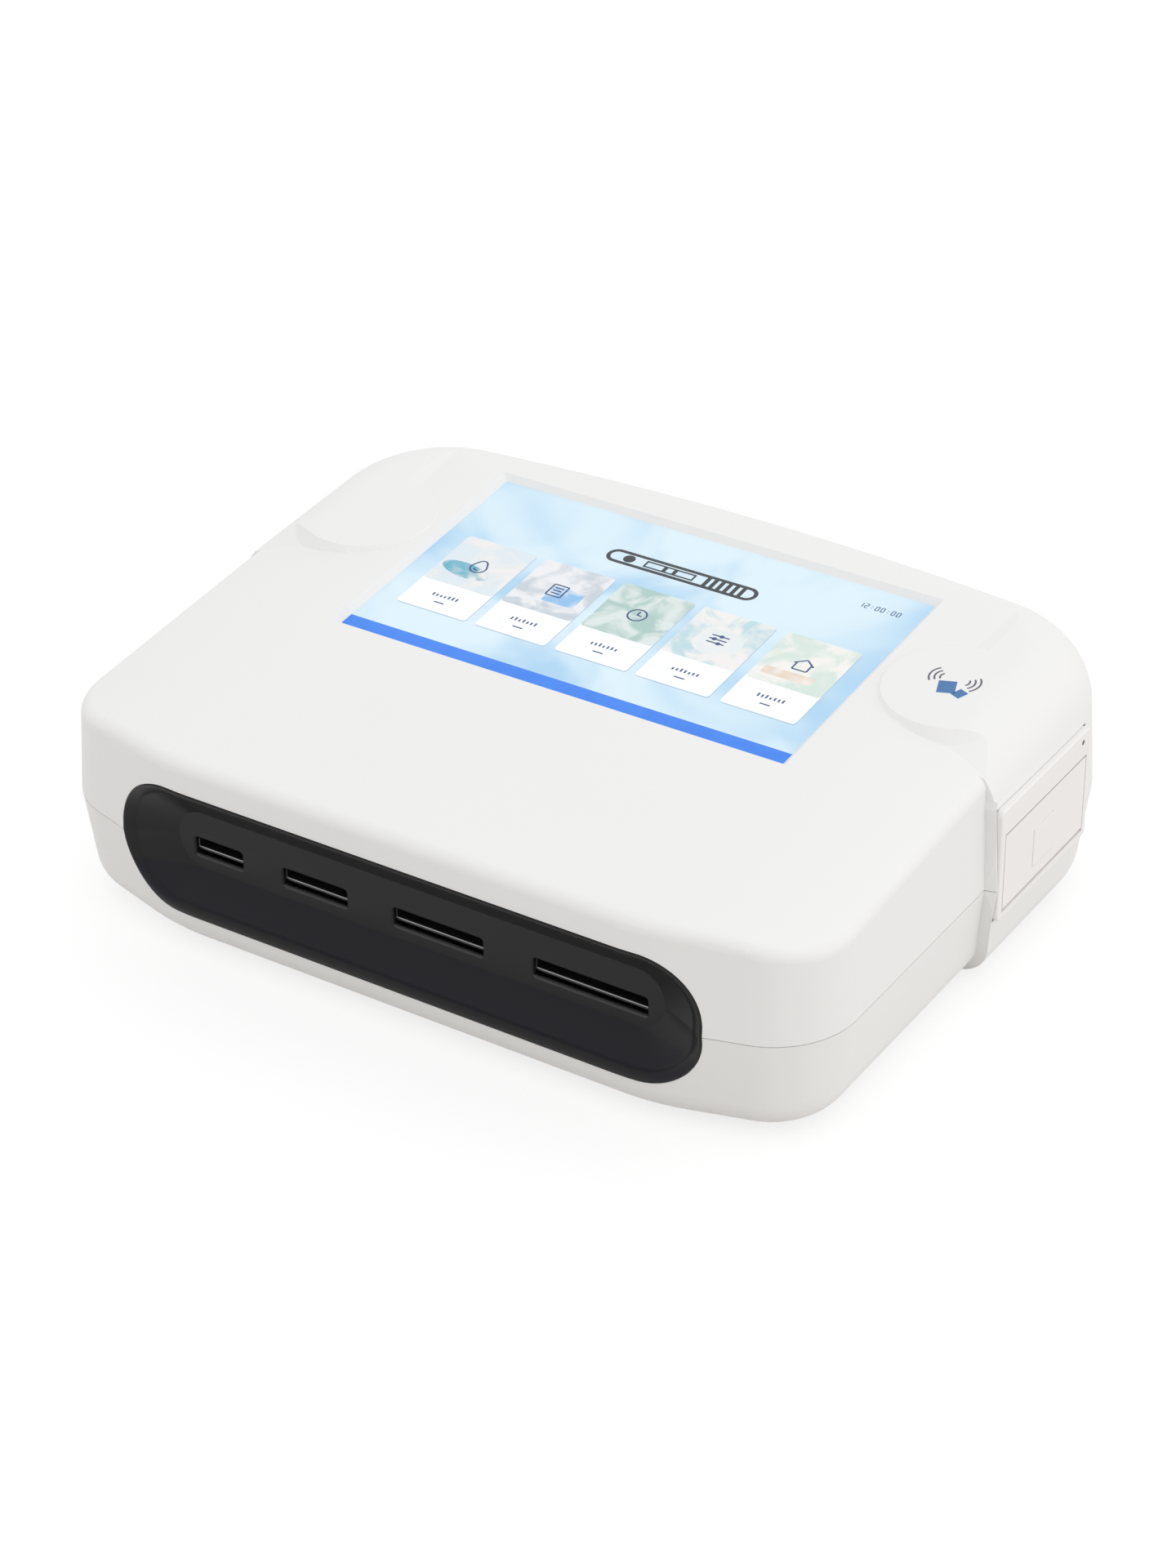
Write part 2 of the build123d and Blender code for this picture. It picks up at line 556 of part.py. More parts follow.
def rod_bracket(sign):
    """Folded end bracket that holds both guide rods."""
    x0 = sign * BRACKET_X
    x1 = sign * (BRACKET_X + BRACKET_THICKNESS)
    low = DECK_Z + DECK_THICKNESS
    sheet = block(x0, ROD_YS[0] - 8, low, x1, ROD_YS[1] + 8, ROD_Z + 8)
    foot = block(x0, ROD_YS[0] - 8, low, sign * (BRACKET_X + 7), ROD_YS[1] + 8, low + BRACKET_THICKNESS)
    for y in ROD_YS:
        sheet -= rod("x", (y, ROD_Z), ROD_R + 0.02, x0 - sign, x1 + sign) if sign > 0 else rod(
            "x", (y, ROD_Z), ROD_R + 0.02, x1 - 1, x0 + 1)
    relief = block(x0 - 1, -98, ROD_Z - 12, x1 + 1, -80, ROD_Z + 3) if sign > 0 else block(
        x1 - 1, -98, ROD_Z - 12, x0 + 1, -80, ROD_Z + 3)
    return sheet + foot - relief


def guide_rods():
    """Two ground steel rods across the scanner."""
    return Compound([rod("x", (y, ROD_Z), ROD_R, -ROD_HALF, ROD_HALF) for y in ROD_YS])


def scan_carriage():
    """Moulded sled on four bushes, with a well for the lens and an arm back to the belt."""
    x = CARRIAGE_HOME_X
    sled = block(x - CARRIAGE_HALF, CARRIAGE_FRONT_Y, CARRIAGE_LOW_Z, x + CARRIAGE_HALF, CARRIAGE_REAR_Y,
                 CARRIAGE_HIGH_Z)
    sled = fillet(sled.edges().filter_by(Axis.Z), 3.0)
    sled -= block(x - 12, LENS_Y - 14, CARRIAGE_LOW_Z + 8, x + 12, LENS_Y + 14, CARRIAGE_HIGH_Z + 1)
    sled -= post(x, LENS_Y, CARRIAGE_LOW_Z - 1, CARRIAGE_LOW_Z + 9, LENS_R + RUNNING)
    for y in ROD_YS:
        sled -= rod("x", (y, ROD_Z), BUSH_R, x - CARRIAGE_HALF - 1, x + CARRIAGE_HALF + 1)
    belt_y = PULLEY_Y - PULLEY_R - BELT_THICKNESS / 2
    belt_z = PULLEY_LOW_Z + 4.0
    arm = block(x - 8, CARRIAGE_REAR_Y - 1, CARRIAGE_LOW_Z + 2, x + 8, belt_y + 3, CARRIAGE_LOW_Z + 6)
    clamp = block(x - 8, belt_y - 4, belt_z - 5, x + 8, belt_y + 3, CARRIAGE_LOW_Z + 6)
    gap = block(x - 9, belt_y - BELT_THICKNESS / 2 - 0.3, belt_z - 6, x + 9, belt_y + BELT_THICKNESS / 2 + 0.3,
                belt_z + BELT_HEIGHT / 2 + 0.3)
    return sled + arm + clamp - gap


def carriage_bushes():
    """Four bronze bushes pressed into the sled."""
    x = CARRIAGE_HOME_X
    bushes = []
    for y in ROD_YS:
        for end in (-1, 1):
            outer_end = x + end * CARRIAGE_HALF
            inner_end = x + end * (CARRIAGE_HALF - 9)
            span = sorted((outer_end, inner_end))
            bushes.append(rod("x", (y, ROD_Z), BUSH_R, *span) - rod("x", (y, ROD_Z), ROD_R + RUNNING, *span))
    return Compound(bushes)


def reading_lens():
    """Lens barrel that looks down through the sled, with a recessed front element."""
    x = CARRIAGE_HOME_X
    barrel = post(x, LENS_Y, CARRIAGE_LOW_Z - 1.5, CARRIAGE_LOW_Z + 12, LENS_R)
    return barrel - Pos(x, LENS_Y, CARRIAGE_LOW_Z - 1.5) * Sphere(LENS_R - 1.5)


def sensor_board():
    """Small board on top of the sled that covers the lens well and carries the light sensor."""
    x = CARRIAGE_HOME_X
    board = block(x - 15, LENS_Y - 17, CARRIAGE_HIGH_Z, x + 15, LENS_Y + 17, CARRIAGE_HIGH_Z + BOARD_THICKNESS)
    chip = block(x - 5, LENS_Y - 5, CARRIAGE_HIGH_Z + BOARD_THICKNESS, x + 5, LENS_Y + 5, CARRIAGE_HIGH_Z + 3.2)
    plug = block(x - 12, LENS_Y + 9, CARRIAGE_HIGH_Z + BOARD_THICKNESS, x + 12, LENS_Y + 14, CARRIAGE_HIGH_Z + 6)
    return board + chip + plug


def scan_motor():
    """Square stepper motor hung under the deck, its pilot through the deck."""
    body = block(PULLEY_X - 17.5, PULLEY_Y - 17.5, 8.0, PULLEY_X + 17.5, PULLEY_Y + 17.5, DECK_Z)
    body = chamfer(body.edges().filter_by(Axis.Z), 3.5)
    body += post(PULLEY_X, PULLEY_Y, DECK_Z, DECK_Z + 2.6, 3.8)
    return body - post(PULLEY_X, PULLEY_Y, DECK_Z - 12, DECK_Z + 5, MOTOR_SHAFT_R + RUNNING)


def toothed_pulley(x, bore):
    """Belt pulley with two flanges and shallow teeth."""
    low = PULLEY_LOW_Z
    top = low + 8.0
    body = post(x, PULLEY_Y, low, top, PULLEY_R - 0.1)
    for i in range(PULLEY_TEETH):
        a = 2 * pi * i / PULLEY_TEETH
        groove = Pos(x + PULLEY_R * cos(a), PULLEY_Y + PULLEY_R * sin(a), low + 4) * Rot(0, 0, a * 180 / pi)
        body -= groove * Box(1.4, 1.1, 6.0)
    for z in (low, top - 0.9):
        body += post(x, PULLEY_Y, z, z + 0.9, PULLEY_R + 2.2)
    return body - post(x, PULLEY_Y, low - 1, top + 1, bore) if bore else body


def drive_pulley():
    """Pulley fixed on the motor's shaft."""
    return toothed_pulley(PULLEY_X, 0) + post(PULLEY_X, PULLEY_Y, DECK_Z - 10, PULLEY_LOW_Z + 9, MOTOR_SHAFT_R)


def idler_pulley():
    """Free pulley at the other end of the belt."""
    return toothed_pulley(-PULLEY_X, IDLER_AXLE_R + RUNNING)


def idler_axle():
    """Shouldered pin on the deck that the idler turns on."""
    low = DECK_Z + DECK_THICKNESS
    pin = post(-PULLEY_X, PULLEY_Y, low, PULLEY_LOW_Z + 9.5, IDLER_AXLE_R)
    return pin + post(-PULLEY_X, PULLEY_Y, low, PULLEY_LOW_Z - 0.3, IDLER_AXLE_R + 2)


def drive_belt():
    """Flat belt loop round both pulleys."""
    def loop(radius):
        return Pos(0, PULLEY_Y, PULLEY_LOW_Z + 4 - BELT_HEIGHT / 2) * SlotOverall(2 * (PULLEY_X + radius), 2 * radius)
    return extrude(loop(PULLEY_R + BELT_THICKNESS) - loop(PULLEY_R), amount=BELT_HEIGHT)


def home_switch():
    """Small switch on the left bracket that the sled meets at home."""
    x = -BRACKET_X
    body = block(x, LENS_Y - 5, ROD_Z - 11, x + 3.4, LENS_Y + 5, ROD_Z - 4)
    return body + block(x, LENS_Y - 10.9, ROD_Z - 11, x + 1, LENS_Y + 10.9, ROD_Z - 12.5)


# ---- printer ----------------------------------------------------------------------------------
def gear(teeth, bore, y0, y1, turn=0.0):
    """Small spur gear about the Y axis at the origin; turn is in degrees."""
    pitch_r = MODULE * teeth / 2
    tip_r = pitch_r + 0.85 * MODULE
    root_r = pitch_r - 1.2 * MODULE
    step = 2 * pi / teeth
    points = []
    for i in range(teeth):
        for share, radius in ((-0.33, root_r), (-0.115, tip_r), (0.115, tip_r), (0.33, root_r)):
            a = step * (i + share) + radians(turn)
            points.append((radius * cos(a), radius * sin(a)))
    face = polygon(points)
    if bore:
        face -= Circle(bore)
    return xz_prism(face, y0, y1)


def gear_places():
    """Centres (x, z) of the drive gear and the pinion, and the turns that put the teeth in mesh."""
    out = atan2(HINGE_X - PLATEN_X, PLATEN_Z - HINGE_Z)       # the platen leaves along this direction
    first = MODULE * (PLATEN_TEETH + DRIVE_TEETH) / 2 + GEAR_SPREAD
    drive = (PLATEN_X - first * cos(out), PLATEN_Z - first * sin(out))
    second = MODULE * (DRIVE_TEETH + PINION_TEETH) / 2 + GEAR_SPREAD
    lean = radians(120)
    pinion = (drive[0] + second * cos(lean), drive[1] + second * sin(lean))
    toward = out * 180 / pi
    platen_turn = toward + 180                                # a tooth of the platen gear points at the drive gear
    drive_turn = toward + 180 / DRIVE_TEETH                   # and meets a gap there
    pitch = 360 / DRIVE_TEETH
    phase = ((120 - drive_turn) / pitch) % 1                  # where the drive gear's teeth lie towards the pinion
    pinion_turn = 300 + (0.5 + phase) * 360 / PINION_TEETH
    return drive, pinion, platen_turn, drive_turn, pinion_turn


def printer_panel():
    """Fixed frame of the printer in the side wall, with a window for the door and a hole for the light."""
    x0 = PANEL_X - PANEL_THICKNESS
    centre = ((PANEL_YS[0] + PANEL_YS[1]) / 2, (PANEL_ZS[0] + PANEL_ZS[1]) / 2)
    plane = Plane(origin=(x0, 0, 0), x_dir=(0, 1, 0), z_dir=(1, 0, 0))
    face = Pos(*centre) * RectangleRounded(PANEL_YS[1] - PANEL_YS[0], PANEL_ZS[1] - PANEL_ZS[0], PANEL_CORNER_R)
    panel = extrude(plane * face, amount=PANEL_THICKNESS)
    panel = fillet(panel.faces().sort_by(Axis.X)[-1].edges(), 0.8)
    panel -= block(x0 - 1, DOOR_YS[0] - DOOR_GAP, HINGE_Z - HINGE_R - 0.4, PANEL_X + 1, DOOR_YS[1] + DOOR_GAP,
                   DOOR_TOP_Z + PAPER_SLIT)
    panel -= rod("y", (HINGE_X, HINGE_Z), HINGE_PIN_R + 0.02, DOOR_YS[0] - 3, DOOR_YS[1] + 3)
    return panel - rod("x", (LIGHT_Y, LIGHT_Z), LIGHT_R + 0.1, x0 - 1, PANEL_X + 1)


def printer_door():
    """Hinged cover with its barrel along the foot, a square opening for the button and ears for the platen."""
    back = PANEL_X - DOOR_THICKNESS
    door = block(back, DOOR_YS[0], HINGE_Z, PANEL_X, DOOR_YS[1], DOOR_TOP_Z)
    door += rod("y", (HINGE_X, HINGE_Z), HINGE_R, *DOOR_YS)
    door -= rod("y", (HINGE_X, HINGE_Z), HINGE_PIN_R + RUNNING, DOOR_YS[0] - 1, DOOR_YS[1] + 1)
    ear = polygon([(back + 1, PLATEN_Z - 7), (back + 1, PLATEN_Z + 5), (back - 3, PLATEN_Z + 4.2),
                   (PLATEN_X - 1.5, PLATEN_Z + 3.4), (PLATEN_X - 3.2, PLATEN_Z + 1.5), (PLATEN_X - 3.2, PLATEN_Z - 2),
                   (PLATEN_X, PLATEN_Z - 3.6)])
    ear -= Pos(PLATEN_X, PLATEN_Z) * Circle(PLATEN_SHAFT_R + RUNNING)
    for y in EAR_YS:
        door += xz_prism(ear, y, y + 2)
    half = BUTTON_SIZE / 2 + FIT
    door -= block(back - 1, BUTTON_Y - half, BUTTON_Z - half, PANEL_X + 1, BUTTON_Y + half, BUTTON_Z + half)
    return door


def door_button():
    """Square push button in the door; a flange keeps it behind the door."""
    back = PANEL_X - DOOR_THICKNESS
    half = BUTTON_SIZE / 2
    cap = block(back - 0.4, BUTTON_Y - half, BUTTON_Z - half, PANEL_X + 0.3, BUTTON_Y + half, BUTTON_Z + half)
    cap = fillet(cap.faces().sort_by(Axis.X)[-1].edges(), 0.5)
    wide = half + 1.4
    low = BUTTON_Z - wide
    high = BUTTON_Z + half + 0.4      # clear of the platen above it
    return cap + block(back - 1.5, BUTTON_Y - wide, low, back - 0.3, BUTTON_Y + wide, high)


def printer_frame():
    """Moulded frame behind the panel: three plates, the paper cradle, the head's bar, roll pins and gear stub."""
    low = PRINTER_LOW_Z
    cx, cz = ROLL_CENTRE
    full = polygon([(cx - 20, low), (FRAME_FOOT_X, low), (FRAME_FOOT_X, PANEL_ZS[0] + 2),
                    (PANEL_X - PANEL_THICKNESS, PANEL_ZS[0] + 8),
                    (PANEL_X - PANEL_THICKNESS, PANEL_ZS[1] - 3), (cx - 2, PANEL_ZS[1] - 3), (cx - 20, PLATEN_Z)])
    inner = polygon([(cx - 20, low), (171.0, low), (171.0, 76.0), (cx - 2, 76.0), (cx - 20, PLATEN_Z)])
    front_y, inner_y, rear_y = FRAME_PLATE_YS
    frame = xz_prism(full, front_y, front_y + FRAME_SHEET)
    frame += xz_prism(inner, inner_y, inner_y + FRAME_SHEET)
    frame += xz_prism(full, rear_y, rear_y + FRAME_SHEET)
    ring = Circle(PAPER_R + 3.5) - Circle(PAPER_R + 1.5)
    keep = polygon([(0, 0), (8, 60), (-60, 60), (-60, -60), (14, -60)])
    frame += xz_prism(Pos(cx, cz) * (ring & keep), front_y, inner_y + FRAME_SHEET)
    frame += block(cx - 20, front_y, low, FRAME_FOOT_X, rear_y + FRAME_SHEET, low + 1.2)
    frame += block(HEAD_BAR_X, front_y, PLATEN_Z - 7, HEAD_BAR_X + 4, inner_y + FRAME_SHEET, PLATEN_Z + 8)
    frame += rod("y", ROLL_CENTRE, CORE_R - 0.1, front_y, PAPER_YS[0] + 4)
    frame += rod("y", ROLL_CENTRE, CORE_R - 0.1, PAPER_YS[1] - 4, inner_y + 1)
    drive, pinion = gear_places()[:2]
    frame += rod("y", drive, GEAR_STUB_R, GEAR_YS[0] - 0.3, rear_y + 1)
    frame -= rod("y", pinion, PINION_SHAFT_R + 0.5, rear_y - 1, rear_y + FRAME_SHEET + 1)
    return frame - rod("x", (LIGHT_Y, LIGHT_Z), LIGHT_R + 0.1, 170, PANEL_X)


def thermal_head():
    """Ceramic print head on its aluminium heat sink with cooling ribs."""
    x0 = HEAD_BAR_X + 4
    x1 = PLATEN_X - PLATEN_R - 0.3
    sink = block(x0, PLATEN_YS[0] + 1, PLATEN_Z - 9, x1 - 1.6, PLATEN_YS[1] - 1, PLATEN_Z + 6)
    for i in range(6):
        y = PLATEN_YS[0] + 7 + i * 9.0
        sink -= block(x0 - 1, y, PLATEN_Z - 10, x0 + 1.6, y + 4, PLATEN_Z + 7)
    return sink + block(x1 - 1.6, PLATEN_YS[0] + 1, PLATEN_Z - 7, x1, PLATEN_YS[1] - 1, PLATEN_Z + 5)


def tear_bar():
    """Serrated steel strip behind the upper lip of the paper slit."""
    x1 = PANEL_X - PANEL_THICKNESS
    z = DOOR_TOP_Z + PAPER_SLIT
    edge = [(PLATEN_YS[0] + 2 * i, z + (0.2 if i % 2 else 1.0)) for i in range(31)]
    face = polygon([*edge, (PLATEN_YS[1], z + 5), (PLATEN_YS[0], z + 5)])
    return extrude(Plane(origin=(x1 - 0.8, 0, 0), x_dir=(0, 1, 0), z_dir=(1, 0, 0)) * face, amount=0.8)


def platen_roller():
    """Rubber-faced platen on its steel shaft."""
    centre = (PLATEN_X, PLATEN_Z)
    shaft = rod("y", centre, PLATEN_SHAFT_R, EAR_YS[0] - 0.5, GEAR_YS[1] + 0.4)
    return shaft + rod("y", centre, PLATEN_R, *PLATEN_YS)


def platen_gear():
    """Gear on the end of the platen's shaft."""
    turn = gear_places()[2]
    return Pos(PLATEN_X, 0, PLATEN_Z) * gear(PLATEN_TEETH, PLATEN_SHAFT_R, *GEAR_YS, turn)


def drive_gear():
    """Idler gear between the motor's pinion and the platen gear."""
    drive, _, _, turn, _ = gear_places()
    return Pos(drive[0], 0, drive[1]) * gear(DRIVE_TEETH, GEAR_STUB_R + RUNNING, *GEAR_YS, turn)


def motor_pinion():
    """Pinion and shaft of the printer's motor."""
    _, pinion, _, _, turn = gear_places()
    body = Pos(pinion[0], 0, pinion[1]) * gear(PINION_TEETH, 0, *GEAR_YS, turn)
    return body + rod("y", pinion, PINION_SHAFT_R, GEAR_YS[1] - 1, FRAME_PLATE_YS[2] + 8)


def printer_motor():
    """Round stepper motor on the outside of the rear plate."""
    pinion = gear_places()[1]
    y0 = FRAME_PLATE_YS[2] + FRAME_SHEET
    can = rod("y", pinion, PRINT_MOTOR_R, y0, y0 + 14)
    can = fillet(can.faces().sort_by(Axis.Y)[-1].edges(), 1.0)
    return can - rod("y", pinion, PINION_SHAFT_R + RUNNING, y0 - 1, y0 + 9)


def paper_roll():
    """Roll of thermal paper on its hollow core."""
    return rod("y", ROLL_CENTRE, PAPER_R, *PAPER_YS) - rod("y", ROLL_CENTRE, CORE_R, *PAPER_YS)


# ---- boards and rear panel --------------------------------------------------------------------
def board_posts(board):
    """Four posts near the corners of a board."""
    x0, y0, x1, y1 = board
    return [(x, y) for x in (x0 + 6, x1 - 6) for y in (y0 + 6, y1 - 6)]


def plain_board(board):
    """Circuit board with its corners eased and screw holes over the posts."""
    x0, y0, x1, y1 = board
    slab = block(x0, y0, BOARD_Z, x1, y1, BOARD_Z + BOARD_THICKNESS)
    slab = fillet(slab.edges().filter_by(Axis.Z), 2.0)
    for x, y in board_posts(board):
        slab -= post(x, y, BOARD_Z - 1, BOARD_Z + 3, 1.6)
    return slab


def on_board(x, y, dx, dy, height):
    """Component standing on a board."""
    top = BOARD_Z + BOARD_THICKNESS
    return block(x - dx / 2, y - dy / 2, top, x + dx / 2, y + dy / 2, top + height)


def main_board_chips():
    """Processor with its ribbed heat sink, memory, coin cell and plugs of the main board."""
    sink = on_board(-70, 50, 34, 34, 9)
    for i in range(5):
        x = -70 + (i - 2) * 6.4
        sink -= block(x - 1.6, 30, BOARD_Z + BOARD_THICKNESS + 3, x + 1.6, 70, BOARD_Z + 14)
    chips = [sink, on_board(-28, 52, 16, 12, 1.4), on_board(-28, 34, 16, 12, 1.4), on_board(-110, 70, 12, 12, 1.8)]
    cell = post(-130, 30, BOARD_Z + BOARD_THICKNESS, BOARD_Z + BOARD_THICKNESS + 5, 11)
    return Compound(chips + [cell, on_board(-100, 6, 40, 6, 7), on_board(-20, 6, 30, 6, 7)])


def power_parts():
    """Transformer, capacitors and heat sink of the power board."""
    can_a = post(60, 80, BOARD_Z + BOARD_THICKNESS, BOARD_Z + 22, 8)
    can_b = post(60, 58, BOARD_Z + BOARD_THICKNESS, BOARD_Z + 22, 8)
    return Compound([on_board(90, 70, 34, 28, 24), can_a, can_b, on_board(78, 20, 50, 4, 22)])


def rear_panel():
    """Flat plate for the ports in the rear of the lower shell."""
    x0, z0, x1, z1 = REAR_OPENING
    y1 = REAR_PANEL_Y + REAR_PANEL_THICKNESS
    plate = block(x0 + FIT, REAR_PANEL_Y, z0 + FIT, x1 - FIT, y1, z1 - FIT)
    for x, z, dx, dz in PORTS.values():
        plate -= block(x - dx / 2 - FIT, REAR_PANEL_Y - 1, z - dz / 2 - FIT, x + dx / 2 + FIT, y1 + 1, z + dz / 2 + FIT)
    return plate


def port_box(name, depth):
    """Outer box of a port, flush with the rear panel."""
    x, z, dx, dz = PORTS[name]
    y1 = REAR_PANEL_Y + REAR_PANEL_THICKNESS + 0.6
    return block(x - dx / 2, y1 - depth, z - dz / 2, x + dx / 2, y1, z + dz / 2), x, z, y1


def usb_ports():
    """Two host ports: metal sleeves with a tongue inside."""
    pair = []
    for name in ("usb_a", "usb_b"):
        body, x, z, y1 = port_box(name, 18)
        body -= block(x - 6, y1 - 12, z - 2.4, x + 6, y1 + 1, z + 2.4)
        pair.append(body + block(x - 5, y1 - 13, z + 0.2, x + 5, y1 - 1, z + 1.8))
    return Compound(pair)


def network_port():
    """Square network socket with its latch notch."""
    body, x, z, y1 = port_box("network", 20)
    body -= block(x - 5.9, y1 - 13, z - 4.4, x + 5.9, y1 + 1, z + 3.6)
    return body - block(x - 2, y1 - 13, z + 3, x + 2, y1 + 1, z + 5.6)


def power_inlet():
    """Round low-voltage inlet with its centre pin."""
    body, x, z, y1 = port_box("inlet", 15)
    body -= rod("y", (x, z), 3.2, y1 - 10, y1 + 1)
    return body + rod("y", (x, z), 1.0, y1 - 11, y1 - 1)


def switch_body():
    """Housing of the rocker switch, with holes for the rocker's pins."""
    body, x, z, y1 = port_box("switch", 16)
    body += block(x - 12, y1 - 0.6, z - 8, x + 12, y1 + 2.2, z + 8)
    body -= rod("z", (x, y1), ROCKER_PIN_R + RUNNING, z - 6.6, z + 6.6)
    return body - block(x - 9.2, y1 - 7, z - 5.2, x + 9.2, y1 + 3, z + 5.2)


def power_rocker():
    """Rocker cap, shown pressed to the off side."""
    x, z = PORTS["switch"][:2]
    y1 = REAR_PANEL_Y + REAR_PANEL_THICKNESS + 0.6
    cap = polygon([(-8.6, 0.4), (-8.6, 2.4), (0, 1.2), (8.6, 2.4), (8.6, 0.4), (5, -2.4), (-5, -2.4)])
    cap = Pos(0, 0, -4.9) * extrude(cap, amount=9.8) + Cylinder(ROCKER_PIN_R, 12.8)
    return Pos(x, y1, z) * Rot(0, 0, ROCKER_TILT) * cap


# ---- fasteners and feet -----------------------------------------------------------------------
def casing_screws():
    """Six long screws from below, heads in their counterbores."""
    screws = []
    for x, y in SCREW_POSTS:
        low = SCREW_SEAT_Z - SCREW_HEAD
        head = post(x, y, low, SCREW_SEAT_Z, SCREW_HEAD_R)
        socket = Pos(x, y, low) * Box(3.2, 0.7, 1.6) + Pos(x, y, low) * Box(0.7, 3.2, 1.6)
        screws.append(head + post(x, y, low + 1, POST_JOIN_Z + 11, SCREW_R) - socket)
    return Compound(screws)


def rubber_feet():
    """Four turned rubber feet."""
    feet = []
    for x, y in FEET:
        foot = Pos(x, y, FOOT_HEIGHT / 2) * Cylinder(FOOT_R, FOOT_HEIGHT)
        foot = chamfer(foot.faces().sort_by(Axis.Z)[0].edges(), 0.7)
        feet.append(foot)
    return Compound(feet)


def status_light():
    """Light pipe in the corner of the printer panel."""
    return rod("x", (LIGHT_Y, LIGHT_Z), LIGHT_R, PANEL_X - 10, PANEL_X - 0.3)


def hinge_pin():
    """Steel pin through the door's barrel, held in both sides of the panel."""
    return rod("y", (HINGE_X, HINGE_Z), HINGE_PIN_R, DOOR_YS[0] - 2.8, DOOR_YS[1] + 2.8)


def pieces():
    """Every piece by name."""
    found = {
        "upper_shell": upper_shell(), "lower_shell": lower_shell(), "front_bezel": front_bezel(),
        "screen_glass": screen_glass(), "screen_module": screen_module(), "screen_bracket": screen_bracket(),
        "reader_board": reader_board(), "scanner_deck": scanner_deck(),
        "rod_bracket_left": rod_bracket(-1), "rod_bracket_right": rod_bracket(1), "guide_rods": guide_rods(),
        "scan_carriage": scan_carriage(), "carriage_bushes": carriage_bushes(), "reading_lens": reading_lens(),
        "sensor_board": sensor_board(), "scan_motor": scan_motor(), "drive_pulley": drive_pulley(),
        "idler_pulley": idler_pulley(), "idler_axle": idler_axle(), "drive_belt": drive_belt(),
        "home_switch": home_switch(), "printer_panel": printer_panel(), "printer_door": printer_door(),
        "door_button": door_button(), "printer_frame": printer_frame(), "thermal_head": thermal_head(),
        "tear_bar": tear_bar(), "platen_roller": platen_roller(), "platen_gear": platen_gear(),
        "drive_gear": drive_gear(), "motor_pinion": motor_pinion(), "printer_motor": printer_motor(),
        "paper_roll": paper_roll(), "hinge_pin": hinge_pin(), "status_light": status_light(),
        "main_board": plain_board(MAIN_BOARD), "main_board_chips": main_board_chips(),
        "power_board": plain_board(POWER_BOARD), "power_parts": power_parts(), "rear_panel": rear_panel(),
        "usb_ports": usb_ports(), "network_port": network_port(), "power_inlet": power_inlet(),
        "switch_body": switch_body(), "power_rocker": power_rocker(), "casing_screws": casing_screws(),
        "rubber_feet": rubber_feet(),
    }
    for number, (x0, x1) in enumerate(SLOT_SPANS, 1):
        found[f"card_guide_{number}"] = card_guide(x0, x1)
    return found


os.makedirs("parts", exist_ok=True)
for name, solid in pieces().items():
    export_step(solid, f"parts/{name}.step")
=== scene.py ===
"""Looks of the bench-top rapid test reader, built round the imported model. Metres; X right, Y rear, Z up."""

import bmesh
import bpy
import numpy as np
from mathutils import Matrix, Vector


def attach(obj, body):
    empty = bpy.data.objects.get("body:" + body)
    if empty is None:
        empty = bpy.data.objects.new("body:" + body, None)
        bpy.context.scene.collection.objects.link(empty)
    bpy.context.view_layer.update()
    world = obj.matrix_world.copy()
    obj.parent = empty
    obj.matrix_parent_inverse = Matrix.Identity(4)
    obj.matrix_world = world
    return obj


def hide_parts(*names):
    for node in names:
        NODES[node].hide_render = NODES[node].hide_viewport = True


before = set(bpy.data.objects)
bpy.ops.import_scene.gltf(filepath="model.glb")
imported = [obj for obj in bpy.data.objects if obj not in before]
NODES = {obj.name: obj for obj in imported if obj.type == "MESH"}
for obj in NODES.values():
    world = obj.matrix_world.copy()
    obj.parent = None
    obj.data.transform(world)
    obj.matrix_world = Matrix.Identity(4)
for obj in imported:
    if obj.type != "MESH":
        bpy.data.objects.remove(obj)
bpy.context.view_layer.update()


# ---- case shells ------------------------------------------------------------------------------
# The two shells are moulded in warm-white ABS with a fine spark-eroded texture, screwed together
# from below. The texture softens the gloss, and handling leaves the paint-free plastic faintly uneven.
CASE_WHITE = (0.845, 0.843, 0.838)
CASE_ROUGHNESS = 0.42
GRAIN_PER_METRE = 2600.0      # texture pits along a metre
MOTTLE_PER_METRE = 9.0        # slow changes of tone


def group_tree(name, inputs, outputs):
    """An empty shader node group with named inputs (name, kind, default) and outputs (name, kind)."""
    tree = bpy.data.node_groups.new(name, "ShaderNodeTree")
    for label, kind, default in inputs:
        socket = tree.interface.new_socket(label, in_out="INPUT", socket_type=kind)
        socket.default_value = default
    for label, kind in outputs:
        tree.interface.new_socket(label, in_out="OUTPUT", socket_type=kind)
    return tree, tree.nodes.new("NodeGroupInput"), tree.nodes.new("NodeGroupOutput")


def add(tree, kind, settings=(), **links):
    """One node with its properties and inputs: a link from another node's output, or a plain value."""
    node = tree.nodes.new(kind)
    for key, value in dict(settings).items():
        setattr(node, key, value)
    for key, value in links.items():
        index = int(key[1:]) if key[0] == "i" and key[1:].isdigit() else key.replace("_", " ")
        if isinstance(value, bpy.types.NodeSocket):
            tree.links.new(value, node.inputs[index])
        else:
            node.inputs[index].default_value = value
    return node


